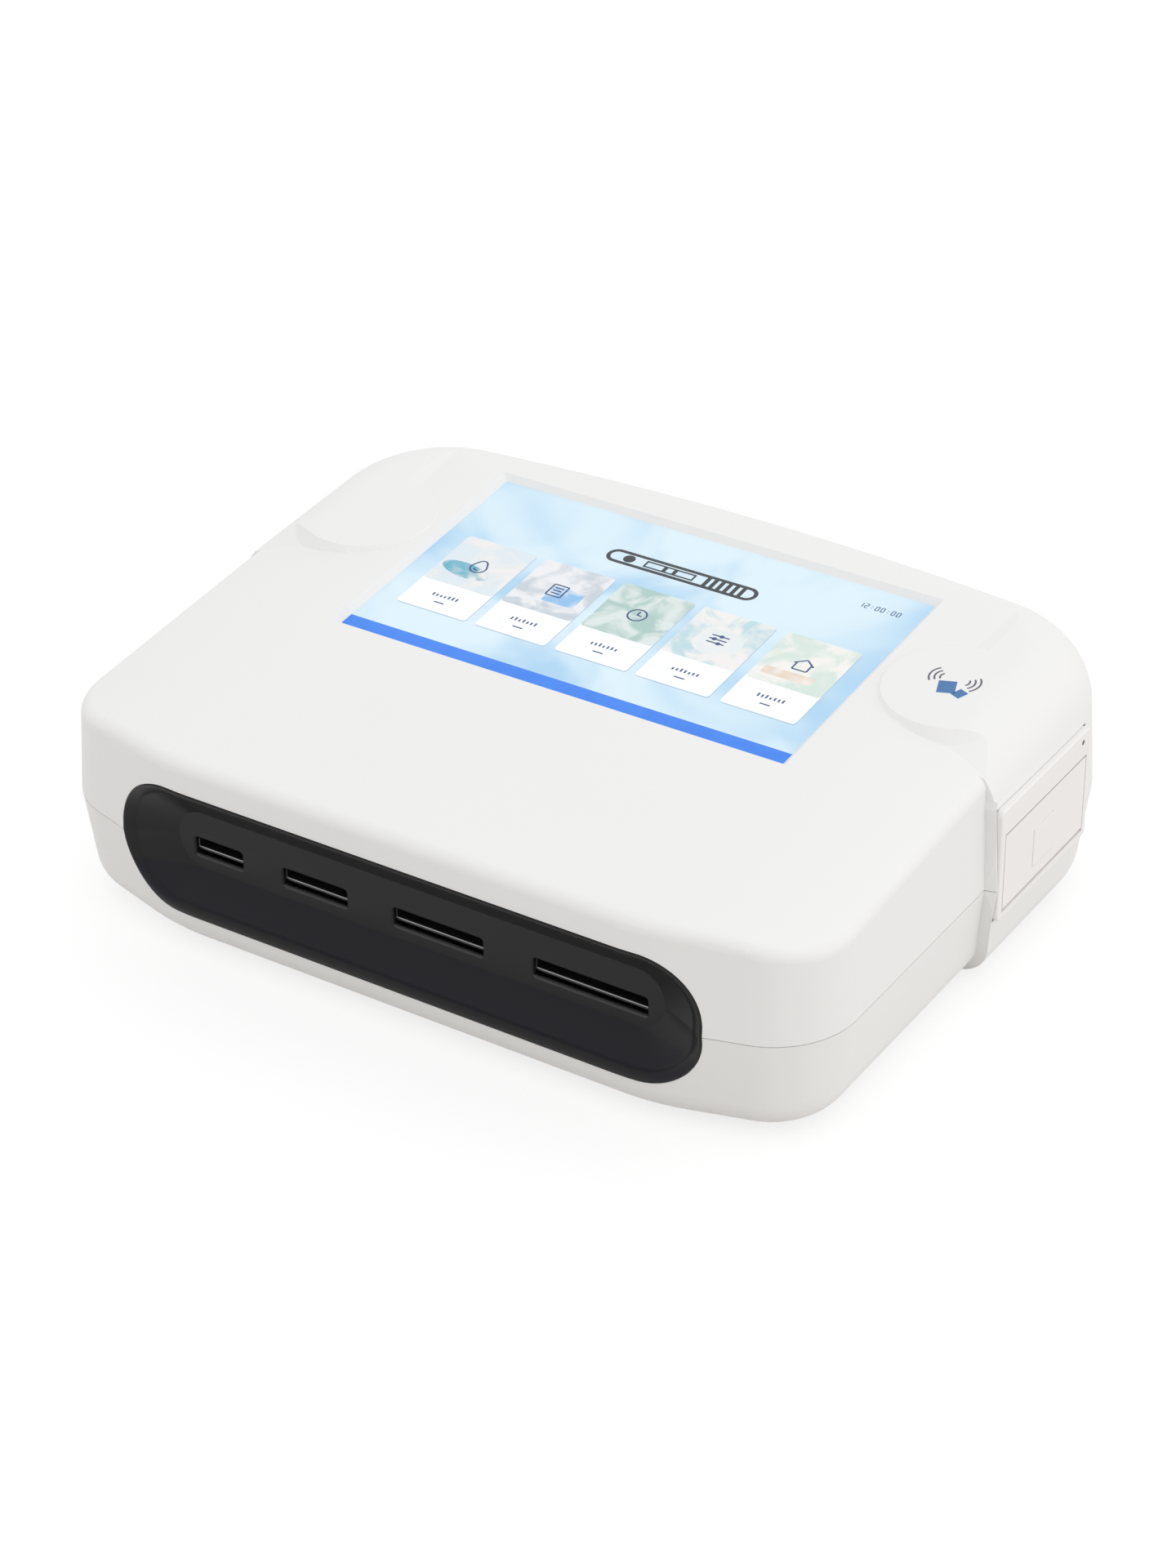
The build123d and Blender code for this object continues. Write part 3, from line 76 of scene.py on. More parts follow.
def moulded_grain_group():
    """Pits of a moulded surface: fine noise for height and roughness, slow noise for tone."""
    tree, given, out = group_tree(
        "moulded grain",
        [("Colour", "NodeSocketColor", (0.8, 0.8, 0.8, 1)), ("Roughness", "NodeSocketFloat", 0.4),
         ("Grain scale", "NodeSocketFloat", GRAIN_PER_METRE), ("Tone", "NodeSocketFloat", 0.02)],
        [("Colour", "NodeSocketColor"), ("Roughness", "NodeSocketFloat"), ("Height", "NodeSocketFloat")])
    place = add(tree, "ShaderNodeTexCoord").outputs["Object"]
    pits = add(tree, "ShaderNodeTexNoise", Vector=place, Scale=given.outputs["Grain scale"], Detail=2.0,
               Roughness=0.6)
    slow = add(tree, "ShaderNodeTexNoise", Vector=place, Scale=MOTTLE_PER_METRE, Detail=3.0)
    centred = add(tree, "ShaderNodeMath", {"operation": "SUBTRACT"}, i0=slow.outputs["Fac"], i1=0.5)
    swing = add(tree, "ShaderNodeMath", {"operation": "MULTIPLY_ADD"}, i0=centred.outputs[0],
                i1=given.outputs["Tone"], i2=1.0)
    tone = add(tree, "ShaderNodeVectorMath", {"operation": "SCALE"}, i0=given.outputs["Colour"],
               Scale=swing.outputs[0])
    rough = add(tree, "ShaderNodeMath", {"operation": "MULTIPLY_ADD"}, i0=pits.outputs["Fac"], i1=0.12,
                i2=given.outputs["Roughness"])
    tree.links.new(tone.outputs[0], out.inputs["Colour"])
    tree.links.new(rough.outputs[0], out.inputs["Roughness"])
    tree.links.new(pits.outputs["Fac"], out.inputs["Height"])
    return tree


MOULDED_GRAIN = moulded_grain_group()


def new_material(name):
    """A material with its Principled shader, and its tree."""
    material = bpy.data.materials.new(name)
    material.use_nodes = True
    return material, material.node_tree, material.node_tree.nodes["Principled BSDF"]


def finish_with(tree, shader, surface, depth):
    """Feeds a surface group's colour, roughness and height into the shader; depth is the relief in metres."""
    tree.links.new(surface.outputs["Colour"], shader.inputs["Base Color"])
    tree.links.new(surface.outputs["Roughness"], shader.inputs["Roughness"])
    bump = add(tree, "ShaderNodeBump", Strength=1.0, Distance=depth, Height=surface.outputs["Height"])
    tree.links.new(bump.outputs["Normal"], shader.inputs["Normal"])


def moulded_plastic(name, colour, roughness, depth=0.000004, grain=GRAIN_PER_METRE, tone=0.02):
    """Moulded plastic in one colour with its fine texture."""
    material, tree, shader = new_material(name)
    surface = add(tree, "ShaderNodeGroup", {"node_tree": MOULDED_GRAIN}, Colour=(*colour, 1), Roughness=roughness,
                  Grain_scale=grain, Tone=tone)
    finish_with(tree, shader, surface, depth)
    return material


def finish_nodes(material, *names):
    """Gives CAD nodes a material."""
    for name in names:
        mesh_object = NODES[name]
        for slot in mesh_object.material_slots:
            slot.material = material


case_white = moulded_plastic("case white", CASE_WHITE, CASE_ROUGHNESS)
finish_nodes(case_white, "upper_shell", "lower_shell")


# ---- front bezel ------------------------------------------------------------------------------
# One satin-black moulding let into the front: a rounded rim, walls that sweep in to a flat plate, and
# four slots with rounded lips. The tray below the plate takes a bluish cast, and its foot is a raised lip.
BEZEL_BLACK = (0.0118, 0.0115, 0.0116)
TRAY_BLACK = (0.0080, 0.0078, 0.0130)
LIP_HIGHLIGHT_GREY = (0.085, 0.085, 0.090)   # painted highlight: the lower lip of a slot drawn lighter, as where it catches the light
BEZEL_GRAIN = 3200.0
BEZEL_GLOSS = 0.22            # specular level of the satin finish
BEZEL_BLANK = (0.140, 0.0192, 0.080, 0.028)      # half width, lowest and highest z, corner radius
SLOT_PLATE = (0.118, 0.036, 0.063, 0.013)        # the same of the flat plate
PLATE_Y = -0.130
TRAY_LIP_Y = (-0.1422, -0.1413)       # the tray's colour starts between these depths
TRAY_TOP_Z = (0.0364, 0.0356)         # and ends at the foot of the plate
LIP_HIGHLIGHT_Y = (-0.12995, -0.1296)        # the painted highlight lies inside the slots' mouths
LIP_HIGHLIGHT_Z = (0.0418, 0.0413)           # and on their lower lips only
RIM_STEPS = ((0.0, 0.0024), (0.0, 0.0002), (0.0001, -0.0006), (0.0008, -0.0006), (0.0018, 0.0002),
             (0.0032, 0.0014), (0.0044, 0.0027), (0.0050, 0.0036))    # inset, depth behind the case's front
LIP_STEPS = ((0.0, 0.0024), (0.0, 0.0002), (0.0001, -0.0006), (0.0008, -0.0006), (0.0022, -0.0006),
             (0.0038, -0.0003), (0.0048, 0.0012), (0.0054, 0.0027))   # the same along the raised lip
WALL_SHARES = (0.12, 0.35, 0.65, 1.0)            # control rings of the wall, from the rim in to the plate
SKIN_RINGS = 46
BAND_ROWS = 5                 # rows of points below, beside and above the slots
SLOT_SPANS = ((-0.1098, -0.0860), (-0.0650, -0.0334), (-0.0101, 0.0328), (0.0571, 0.1098))
SLOT_ZS = (0.0412, 0.04986)
SLOT_CORNER = 0.0014
SLOT_LIP = 0.0012
SLOT_DEPTH = 0.0024
BEZEL_WALL = 0.0016
CASE_FRONT_Y = -0.1457        # the case's front at the parting line
PARTING_Z = 0.049
CHEEK_START, CHEEK_RUN = 0.102, 0.0304           # where the front starts to fall back, and how wide its arc is
CHEEK_RADIUS = 0.110
CHEEK_SLOPE = 0.2867          # tangent of the cheek's 16 degrees
DRAFT_ABOVE, DRAFT_BELOW = 0.0664, 0.1228        # tangents of the two shells' drafts


def bezel_material():
    """Black moulding whose colour changes at the tray and, as a painted highlight, on the slots' lower lips, by
    place in the object.
    """
    material, tree, shader = new_material("bezel black")
    place = add(tree, "ShaderNodeSeparateXYZ", Vector=add(tree, "ShaderNodeTexCoord").outputs["Object"])

    def both(z_span, y_span):
        below = add(tree, "ShaderNodeMapRange", i0=place.outputs["Z"], From_Min=z_span[0], From_Max=z_span[1])
        behind = add(tree, "ShaderNodeMapRange", i0=place.outputs["Y"], From_Min=y_span[0], From_Max=y_span[1])
        return add(tree, "ShaderNodeMath", {"operation": "MULTIPLY"}, i0=below.outputs[0], i1=behind.outputs[0])

    colour = add(tree, "ShaderNodeMix", {"data_type": "RGBA"}, Factor=both(TRAY_TOP_Z, TRAY_LIP_Y).outputs[0])
    colour.inputs[6].default_value = (*BEZEL_BLACK, 1)
    colour.inputs[7].default_value = (*TRAY_BLACK, 1)
    # painted highlight: the slots' lower lips are coloured a lighter grey, as if lit
    lip_highlighted = add(tree, "ShaderNodeMix", {"data_type": "RGBA"}, Factor=both(LIP_HIGHLIGHT_Z, LIP_HIGHLIGHT_Y).outputs[0],
               i6=colour.outputs[2])
    lip_highlighted.inputs[7].default_value = (*LIP_HIGHLIGHT_GREY, 1)
    surface = add(tree, "ShaderNodeGroup", {"node_tree": MOULDED_GRAIN}, Colour=lip_highlighted.outputs[2], Roughness=0.3,
                  Grain_scale=BEZEL_GRAIN, Tone=0.1)
    finish_with(tree, shader, surface, 0.000003)
    shader.inputs["Specular IOR Level"].default_value = BEZEL_GLOSS
    return material


def surface_object(name, patches, material):
    """One object from grids of points (rows, columns, 3); repeated points along an edge close a pole."""
    points = []
    faces = []
    start = 0
    for grid in patches:
        rows, columns = grid.shape[:2]
        index = start + np.arange(rows * columns).reshape(rows, columns)
        corners = np.stack([index[:-1, :-1], index[:-1, 1:], index[1:, 1:], index[1:, :-1]], -1)
        faces.append(corners.reshape(-1, 4))
        points.append(grid.reshape(-1, 3))
        start += rows * columns
    mesh = bpy.data.meshes.new(name)
    mesh.from_pydata(np.concatenate(points).tolist(), [], np.concatenate(faces).tolist())
    merge_doubles(mesh)
    made = bpy.data.objects.new(name, mesh)
    made.data.materials.append(material)
    bpy.context.scene.collection.objects.link(made)
    return made


def merge_doubles(mesh):
    """Joins points that lie on each other, which closes poles and seams."""
    work = bmesh.new()
    work.from_mesh(mesh)
    bmesh.ops.remove_doubles(work, verts=work.verts, dist=1e-7)
    work.to_mesh(mesh)
    work.free()


def face_out(mesh):
    """Makes the faces of a front piece agree, most of them looking forward."""
    work = bmesh.new()
    work.from_mesh(mesh)
    bmesh.ops.recalc_face_normals(work, faces=work.faces)
    if sum(face.normal.y * face.calc_area() for face in work.faces) > 0:
        bmesh.ops.reverse_faces(work, faces=work.faces)
    work.to_mesh(mesh)
    work.free()


def case_front(x, z):
    """Depth of the case's front: flat in the middle, then an arc and a slope at each cheek; drafted above and
    below the parting line."""
    out = np.abs(x) - CHEEK_START
    on_arc = np.clip(out, 0, CHEEK_RUN)
    arc_fall = CHEEK_RADIUS - np.sqrt(CHEEK_RADIUS ** 2 - on_arc ** 2)
    slope_fall = np.clip(out - CHEEK_RUN, 0, None) * CHEEK_SLOPE
    above, below = np.clip(z - PARTING_Z, 0, None), np.clip(PARTING_Z - z, 0, None)
    return CASE_FRONT_Y + (arc_fall + slope_fall) + DRAFT_ABOVE * above + DRAFT_BELOW * below


def outline_at(walk, blank, inset):
    """Rounded rectangle at the places of a walk round it: a corner centre, or a share of the way between two,
    plus the corner radius along the outward direction."""
    half, low, high, radius = blank[0] - inset, blank[1] + inset, blank[2] - inset, blank[3] - inset
    share_x, share_z, out_x, out_z = walk
    return (share_x * (half - radius) + radius * out_x,
            low + radius + share_z * (high - low - 2 * radius) + radius * out_z)


def cubic_rings(rings, count):
    """Uniform cubic B-spline across control rings (k, n, 3), with both end rings repeated three times."""
    hold = np.concatenate([rings[:1]] * 2 + [rings] + [rings[-1:]] * 2)
    place = np.linspace(0, len(hold) - 3, count)
    first = np.minimum(place.astype(int), len(hold) - 4)
    t = (place - first)[:, None, None]
    weights = ((1 - t) ** 3 / 6, (3 * t ** 3 - 6 * t ** 2 + 4) / 6, (-3 * t ** 3 + 3 * t ** 2 + 3 * t + 1) / 6,
               t ** 3 / 6)
    return sum(w * hold[first + k] for k, w in enumerate(weights))


def plate_columns():
    """Places across the slot plate: close together round its ends and the slots' corners."""
    half, _, _, radius = SLOT_PLATE
    straight = half - radius
    bend = np.sin(np.linspace(0, np.pi / 2, 15))
    turn = (SLOT_CORNER + SLOT_LIP) * (1 - np.cos(np.linspace(0, np.pi / 2, 6)))
    columns = [-straight - radius * bend, straight + radius * bend, np.linspace(-straight, straight, 22)]
    for x0, x1 in SLOT_SPANS:
        columns += [x0 - SLOT_LIP + turn, x1 + SLOT_LIP - turn, np.linspace(x0 + 0.002, x1 - 0.002, 9)]
    return np.unique(np.round(np.concatenate(columns), 7))


def slot_edge(x):
    """Bottom and top of the slot that stands over x, lip included, as two z arrays, and whether there is one."""
    corner = SLOT_CORNER + SLOT_LIP
    low, high = np.full(x.shape, SLOT_ZS[0] - SLOT_LIP), np.full(x.shape, SLOT_ZS[1] + SLOT_LIP)
    inside = np.zeros(x.shape, bool)
    for x0, x1 in SLOT_SPANS:
        end = np.minimum(x - (x0 - SLOT_LIP), (x1 + SLOT_LIP) - x)
        within = end > -1e-6
        lift = corner - np.sqrt(np.clip(corner ** 2 - (corner - np.clip(end, 0, corner)) ** 2, 0, None))
        low = np.where(within, low + lift, low)
        high = np.where(within, high - lift, high)
        inside |= within
    return low, high, inside


def plate_bands(columns):
    """Three grids of the plate, below, level with and above the slots, between its round-ended outline and the
    slots' edges; beside the slots the two dividing lines keep a fifth of the height off the outline."""
    half, plate_low, plate_high, radius = SLOT_PLATE
    past = np.clip(np.abs(columns) - (half - radius), 0, radius)
    reach = np.sqrt(np.clip(radius ** 2 - past ** 2, 0, None))
    low, high = plate_low + radius - reach, plate_high - radius + reach
    slot_low, slot_high, inside = slot_edge(columns)
    margin = 0.2 * (high - low)
    line_low = np.where(inside, slot_low, np.clip(slot_low, low + margin, None))
    line_high = np.where(inside, slot_high, np.clip(slot_high, None, high - margin))
    share = np.linspace(0, 1, BAND_ROWS)[:, None]

    def band(z0, z1):
        z = z0 + (z1 - z0) * share
        return np.stack([np.broadcast_to(columns, z.shape), np.full(z.shape, PLATE_Y), z], -1)

    return band(low, line_low), band(line_low, line_high), band(line_high, high)


def slot_wall(ring, x0, x1):
    """Lip and wall of one slot: each point of the ring moves inward along its outward direction, a quarter
    circle deep, and then straight back."""
    centre_x = np.clip(ring[:, 0], x0 + SLOT_CORNER, x1 - SLOT_CORNER)
    centre_z = np.clip(ring[:, 2], SLOT_ZS[0] + SLOT_CORNER, SLOT_ZS[1] - SLOT_CORNER)
    away = np.stack([ring[:, 0] - centre_x, ring[:, 2] - centre_z], -1)
    away = away / np.linalg.norm(away, axis=1, keepdims=True)
    turn = np.linspace(0, np.pi / 2, 6)
    inward = np.append(SLOT_LIP * np.sin(turn), SLOT_LIP)[:, None]
    depth = np.append(SLOT_LIP * (1 - np.cos(turn)), SLOT_DEPTH)[:, None]
    return np.stack([ring[:, 0] - away[:, 0] * inward, PLATE_Y + depth + 0 * ring[:, 0],
                     ring[:, 2] - away[:, 1] * inward], -1)


def bezel_skin(x, z):
    """Rim and walls: rings that follow the plate's outline (x, z) outward, through the rim's steps and the raised
    lip's along the foot, as one cubic surface."""
    half, plate_low, plate_high, radius = SLOT_PLATE
    share_x = np.clip(x / (half - radius), -1, 1)
    share_z = np.clip((z - plate_low - radius) / (plate_high - plate_low - 2 * radius), 0, 1)
    out_x, out_z = (x - share_x * (half - radius)) / radius, z - plate_low - radius
    out_z = np.where(out_z < 0, out_z, np.clip(z - plate_high + radius, 0, None)) / radius
    walk = (share_x, share_z, out_x, out_z)
    foot_share = np.clip(-out_z, 0, 1) ** 2
    controls = []
    for (inset, depth), (foot_inset, foot_depth) in zip(RIM_STEPS, LIP_STEPS):
        rx, rz = outline_at(walk, BEZEL_BLANK, inset + (foot_inset - inset) * foot_share)
        controls.append(np.stack([rx, case_front(rx, rz) + depth + (foot_depth - depth) * foot_share, rz], -1))
    rim_foot = controls[-1]
    plate_ring = np.stack([x, np.full(x.shape, PLATE_Y), z], -1)
    controls += [rim_foot * (1 - k) + plate_ring * k for k in WALL_SHARES]
    return cubic_rings(np.stack(controls), SKIN_RINGS)


def bezel_patches():
    """The plate round its four slots, each slot's lip and wall, and the skin out to the rim."""
    columns = plate_columns()
    foot, middle, head = plate_bands(columns)
    patches = [foot, head]
    edges = [(int(np.argmin(np.abs(columns - x0 + SLOT_LIP))), int(np.argmin(np.abs(columns - x1 - SLOT_LIP))))
             for x0, x1 in SLOT_SPANS]
    starts = [0] + [last for _, last in edges]
    stops = [first for first, _ in edges] + [len(columns) - 1]
    patches += [middle[:, start:stop + 1] for start, stop in zip(starts, stops)]
    for (first, last), (x0, x1) in zip(edges, SLOT_SPANS):
        ring = np.concatenate([middle[0, first:last + 1], middle[1:, last], middle[-1, first:last][::-1],
                               middle[:-1, first][::-1]])
        patches.append(slot_wall(ring, x0, x1))
    left, right = [np.concatenate([grid[:, k, 2] for grid in (foot, middle[1:], head[1:])]) for k in (0, -1)]
    half = SLOT_PLATE[0]
    x = np.concatenate([columns, np.full(len(right) - 2, half), columns[::-1], np.full(len(left) - 1, -half)])
    z = np.concatenate([foot[0, :, 2], right[1:-1], head[-1, ::-1, 2], left[::-1][1:]])
    patches.append(bezel_skin(x, z))
    return patches


bezel = surface_object("bezel_skin", bezel_patches(), bezel_material())
face_out(bezel.data)
bezel.data.shade_smooth()
bezel.data.set_sharp_from_angle(angle=np.radians(24))
wall = bezel.modifiers.new("wall", "SOLIDIFY")
wall.thickness = BEZEL_WALL
wall.offset = -1.0
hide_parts("front_bezel")
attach(bezel, "case")


# ---- display ----------------------------------------------------------------------------------
# A bonded touch panel under a clear cover glass. The picture is a start page of five round-cornered
# tiles on a pale blue ground over a bright blue bar; each colour of it is a thin layer on the panel.
SLOPE = 0.0830777             # radians that the panel leans back
PANEL_FOOT = (0.0, -0.025, 0.101)     # middle of the panel's front edge, on the glass
PANEL_WIDTH = 0.217
PANEL_DEPTH = 0.1293
LAYER_STEP = 0.00008
PANEL_LEVEL = -0.0017         # the picture lies this far under the glass's face
BAR_DEPTH = 0.0089
TILE_CENTRES = (-0.0808, -0.0405, -0.0002, 0.0397, 0.0807)
TILE_SIZE = (0.0356, 0.0575)
TILE_MIDDLE_V = 0.0558
TILE_CORNER = 0.0017
PICTURE_SHARE = 0.64          # of a tile's depth
PICTURE_EDGE = 0.003          # how far the ground runs under the window's edge
TILE_SHADE = (0.0004, -0.0006)        # shift of a tile's shade
LABEL_SIZE = (0.0118, 0.0026)
LABEL_RISE = 0.0118           # above a tile's foot
UNDERLINE = (0.0025, -0.0052, 0.0008)            # half length, shift from the label, width
STROKE = 0.00085              # width of the tiles' line marks
TITLE_V = 0.1012
CLOCK_PLACE = (0.0790, 0.1155)
CLOCK_HEIGHT = 0.0030


def on_panel(u, v, level):
    """Panel coordinates (across, up the slope, above the face) as points of the row frame."""
    foot = np.array(PANEL_FOOT)
    up_slope = np.array((0.0, np.cos(SLOPE), np.sin(SLOPE)))
    normal = np.array((0.0, -np.sin(SLOPE), np.cos(SLOPE)))
    across = np.array((1.0, 0.0, 0.0))
    return foot + u[..., None] * across + v[..., None] * up_slope + (level + PANEL_LEVEL) * normal


def round_tile(centre_u, centre_v, width, depth, corner, level):
    """Rounded rectangle: ring k of the grid is the outline scaled by k/n about the middle; the outline is
    four quarter circles of radius corner joined by straight sides."""
    turn = np.linspace(0, np.pi / 2, 7)
    quarters = [(turn + k * np.pi / 2, sx, sy) for k, (sx, sy) in enumerate([(1, 1), (-1, 1), (-1, -1), (1, -1)])]
    u = np.concatenate([sx * (width / 2 - corner) + corner * np.cos(a) for a, sx, sy in quarters])
    v = np.concatenate([sy * (depth / 2 - corner) + corner * np.sin(a) for a, sx, sy in quarters])
    u = np.append(u, u[0])
    v = np.append(v, v[0])
    scale = np.linspace(1, 0, 3)[:, None]
    return on_panel(centre_u + u * scale, centre_v + v * scale, level)


def ribbon(u, v, width, level):
    """Stroke of even width along a path: each point is moved half the width to both sides, square to the path."""
    along = np.stack([np.gradient(u), np.gradient(v)])
    along = along / np.linalg.norm(along, axis=0)
    side = np.stack([-along[1], along[0]]) * width / 2
    return on_panel(np.stack([u - side[0], u + side[0]]), np.stack([v - side[1], v + side[1]]), level)


def line(u0, v0, u1, v1, width, level):
    """Straight stroke."""
    return ribbon(np.linspace(u0, u1, 3), np.linspace(v0, v1, 3), width, level)


def arc(cu, cv, radius, start, end, width, level, count):
    """Stroke along part of a circle, start and end in degrees."""
    a = np.radians(np.linspace(start, end, count))
    return ribbon(cu + radius * np.cos(a), cv + radius * np.sin(a), width, level)


def lit_layer(name, colour, tint, scale, spread=(0.4, 0.6)):
    """Light of the picture: two colours that a soft noise mixes."""
    material, tree, shader = new_material(name)
    shader.inputs["Base Color"].default_value = (0.01, 0.01, 0.01, 1)
    shader.inputs["Roughness"].default_value = 0.4
    shader.inputs["Emission Strength"].default_value = 1.0
    place = add(tree, "ShaderNodeTexCoord").outputs["Object"]
    cloud = add(tree, "ShaderNodeTexNoise", Vector=place, Scale=scale, Detail=3.0, Roughness=0.55, Distortion=0.6)
    share = add(tree, "ShaderNodeMapRange", {"interpolation_type": "SMOOTHSTEP"}, i0=cloud.outputs["Fac"],
                From_Min=spread[0], From_Max=spread[1])
    mixed = add(tree, "ShaderNodeMix", {"data_type": "RGBA"}, Factor=share.outputs[0])
    mixed.inputs[6].default_value = (*colour, 1)
    mixed.inputs[7].default_value = (*tint, 1)
    tree.links.new(mixed.outputs[2], shader.inputs["Emission Color"])
    return material


GROUND_BLUE = lit_layer("display ground", (0.40, 0.65, 0.87), (0.72, 0.87, 0.95), 12.0, (0.32, 0.60))
BAR_BLUE = lit_layer("display bar", (0.004, 0.195, 0.84), (0.010, 0.215, 0.87), 60.0)
TILE_WHITE = lit_layer("display tile", (0.99, 0.995, 1.0), (0.96, 0.97, 0.985), 80.0)
INK_NAVY = lit_layer("display ink", (0.006, 0.045, 0.17), (0.010, 0.06, 0.20), 90.0)
INK_BLACK = lit_layer("display title ink", (0.004, 0.006, 0.012), (0.006, 0.008, 0.016), 90.0)
SHADE_BLUE = lit_layer("display tile shade", (0.36, 0.54, 0.70), (0.42, 0.58, 0.72), 60.0)
HEAD_COLOURS = (((0.72, 0.80, 0.86), (0.86, 0.84, 0.82)), ((0.56, 0.62, 0.68), (0.84, 0.85, 0.87)),
                ((0.40, 0.58, 0.54), (0.72, 0.80, 0.78)), ((0.50, 0.70, 0.76), (0.88, 0.86, 0.84)),
                ((0.66, 0.78, 0.72), (0.90, 0.88, 0.84)))
SHAPE_COLOURS = ((0.10, 0.42, 0.56), (0.26, 0.52, 0.84), (0.62, 0.74, 0.70), (0.78, 0.84, 0.86), (0.80, 0.66, 0.54))

u_edge = np.linspace(-PANEL_WIDTH / 2 - PICTURE_EDGE, PANEL_WIDTH / 2 + PICTURE_EDGE, 24)
v_edge = np.linspace(-PICTURE_EDGE, PANEL_DEPTH + PICTURE_EDGE, 16)
ground_u, ground_v = np.meshgrid(u_edge, v_edge)
bar_u, bar_v = np.meshgrid(u_edge, np.linspace(-PICTURE_EDGE, BAR_DEPTH, 3))
tile_w, tile_d = TILE_SIZE
picture_d = tile_d * PICTURE_SHARE
picture_v = TILE_MIDDLE_V + tile_d / 2 - picture_d / 2
label_v = TILE_MIDDLE_V - tile_d / 2 + LABEL_RISE


def tile_mark(kind, u, v, level):
    """Simple line marks for the tiles: a drop, a list, a dial, sliders and a house, each about 9 mm across."""
    w = STROKE
    if kind == 0:
        a = np.linspace(0, 2 * np.pi, 40)
        r = 0.0037 * (1 + 0.55 * np.clip(np.sin(a), 0, 1) ** 6)
        return [ribbon(u + r * np.cos(a), v - 0.0008 + r * np.sin(a), w, level),
                arc(u, v - 0.0008, 0.0019, 200, 290, w, level, 12)]
    if kind == 1:
        sides = [(-1, -1, 1, -1), (1, -1, 1, 1), (1, 1, -1, 1), (-1, 1, -1, -1)]
        frame_lines = [line(u + 0.0036 * a, v + 0.0042 * b, u + 0.0036 * c, v + 0.0042 * d, w, level)
                       for a, b, c, d in sides]
        return frame_lines + [line(u - 0.0022, v + k, u + 0.0022, v + k, w, level) for k in (-0.002, 0.0, 0.002)]
    if kind == 2:
        return [arc(u, v, 0.0042, 0, 360, w, level, 44), line(u, v - 0.0002, u, v + 0.0029, w, level),
                line(u - 0.0002, v, u + 0.0022, v, w, level)]
    if kind == 3:
        marks = []
        for k, shift in ((-0.0026, 0.0014), (0.0, -0.0018), (0.0026, 0.0004)):
            marks.append(line(u - 0.0042, v + k, u + 0.0042, v + k, w, level))
            marks.append(arc(u + shift, v + k, 0.0007, 0, 360, 0.0009, level, 16))
        return marks
    roof = [line(u - 0.0046, v + 0.0006, u, v + 0.0044, w, level),
            line(u, v + 0.0044, u + 0.0046, v + 0.0006, w, level)]
    walls = [line(u - 0.0034, v + 0.0014, u - 0.0034, v - 0.0036, w, level),
             line(u + 0.0034, v + 0.0014, u + 0.0034, v - 0.0036, w, level),
             line(u - 0.0034, v - 0.0036, u + 0.0034, v - 0.0036, w, level)]
    return roof + walls


def word(u, v, length, height, seed, level):
    """A short label: a row of small upright bars of uneven height."""
    steps = np.random.default_rng(seed).uniform(0.6, 1.0, max(3, int(length / (height * 0.62))))
    starts = np.linspace(u - length / 2, u + length / 2, len(steps))
    return [line(x, v - height / 2, x, v - height / 2 + height * s, height * 0.34, level)
            for x, s in zip(starts, steps)]


def oval(u, v, half_u, half_v, turn, level):
    """Filled ellipse: the circle of 40 points scaled to the two half axes, turned, and shrunk to its middle."""
    a = np.linspace(0, 2 * np.pi, 41)
    c, s = np.cos(np.radians(turn)), np.sin(np.radians(turn))
    x, y = half_u * np.cos(a), half_v * np.sin(a)
    scale = np.linspace(1, 0, 3)[:, None]
    return on_panel(u + (x * c - y * s) * scale, v + (x * s + y * c) * scale, level)


def head_shapes(kind, u, v, level):
    """Soft plain shapes behind a tile's mark: a dish, a sheet, drops, a disc and a strip."""
    if kind == 0:
        return [oval(u - 0.004, v - 0.006, 0.0125, 0.0052, -8, level)]
    if kind == 1:
        return [round_tile(u + 0.005, v - 0.004, 0.016, 0.012, 0.001, level)]
    if kind == 2:
        return [oval(u + x, v + y, r, r, 0, level) for x, y, r in
                ((-0.011, 0.009, 0.0012), (0.009, 0.011, 0.0016), (-0.006, -0.010, 0.002), (0.012, -0.004, 0.0011))]
    if kind == 3:
        return [oval(u + 0.001, v - 0.003, 0.011, 0.009, 20, level)]
    return [round_tile(u - 0.002, v - 0.010, 0.024, 0.0055, 0.0012, level)]


def test_strip(u, v, level):
    """The page's heading: a test strip in outline, with its well, window, two result lines and grip ridges."""
    half_u, half_v, w = 0.0325, 0.0041, 0.0019
    sides = [line(u - half_u, v + k, u + half_u, v + k, w, level) for k in (-half_v, half_v)]
    ends = [arc(u + k * half_u, v, half_v, 90 - k * 180, 90, w, level, 20) for k in (-1, 1)]
    well = [oval(u - 0.0265, v, 0.0028, 0.0028, 0, level)]
    window = [line(u - 0.018, v + k, u + 0.006, v + k, 0.0010, level) for k in (-0.002, 0.002)]
    window += [line(u + k, v - 0.0025, u + k, v + 0.0025, 0.0010, level) for k in (-0.018, 0.006)]
    results = [line(u + k, v - 0.0018, u + k, v + 0.0018, 0.0019, level) for k in (-0.0085, -0.0035)]
    ridges = [line(u + k, v - 0.0032, u + k, v + 0.0032, 0.0020, level) for k in np.linspace(0.0125, 0.0300, 6)]
    return sides + ends + well + window + results + ridges


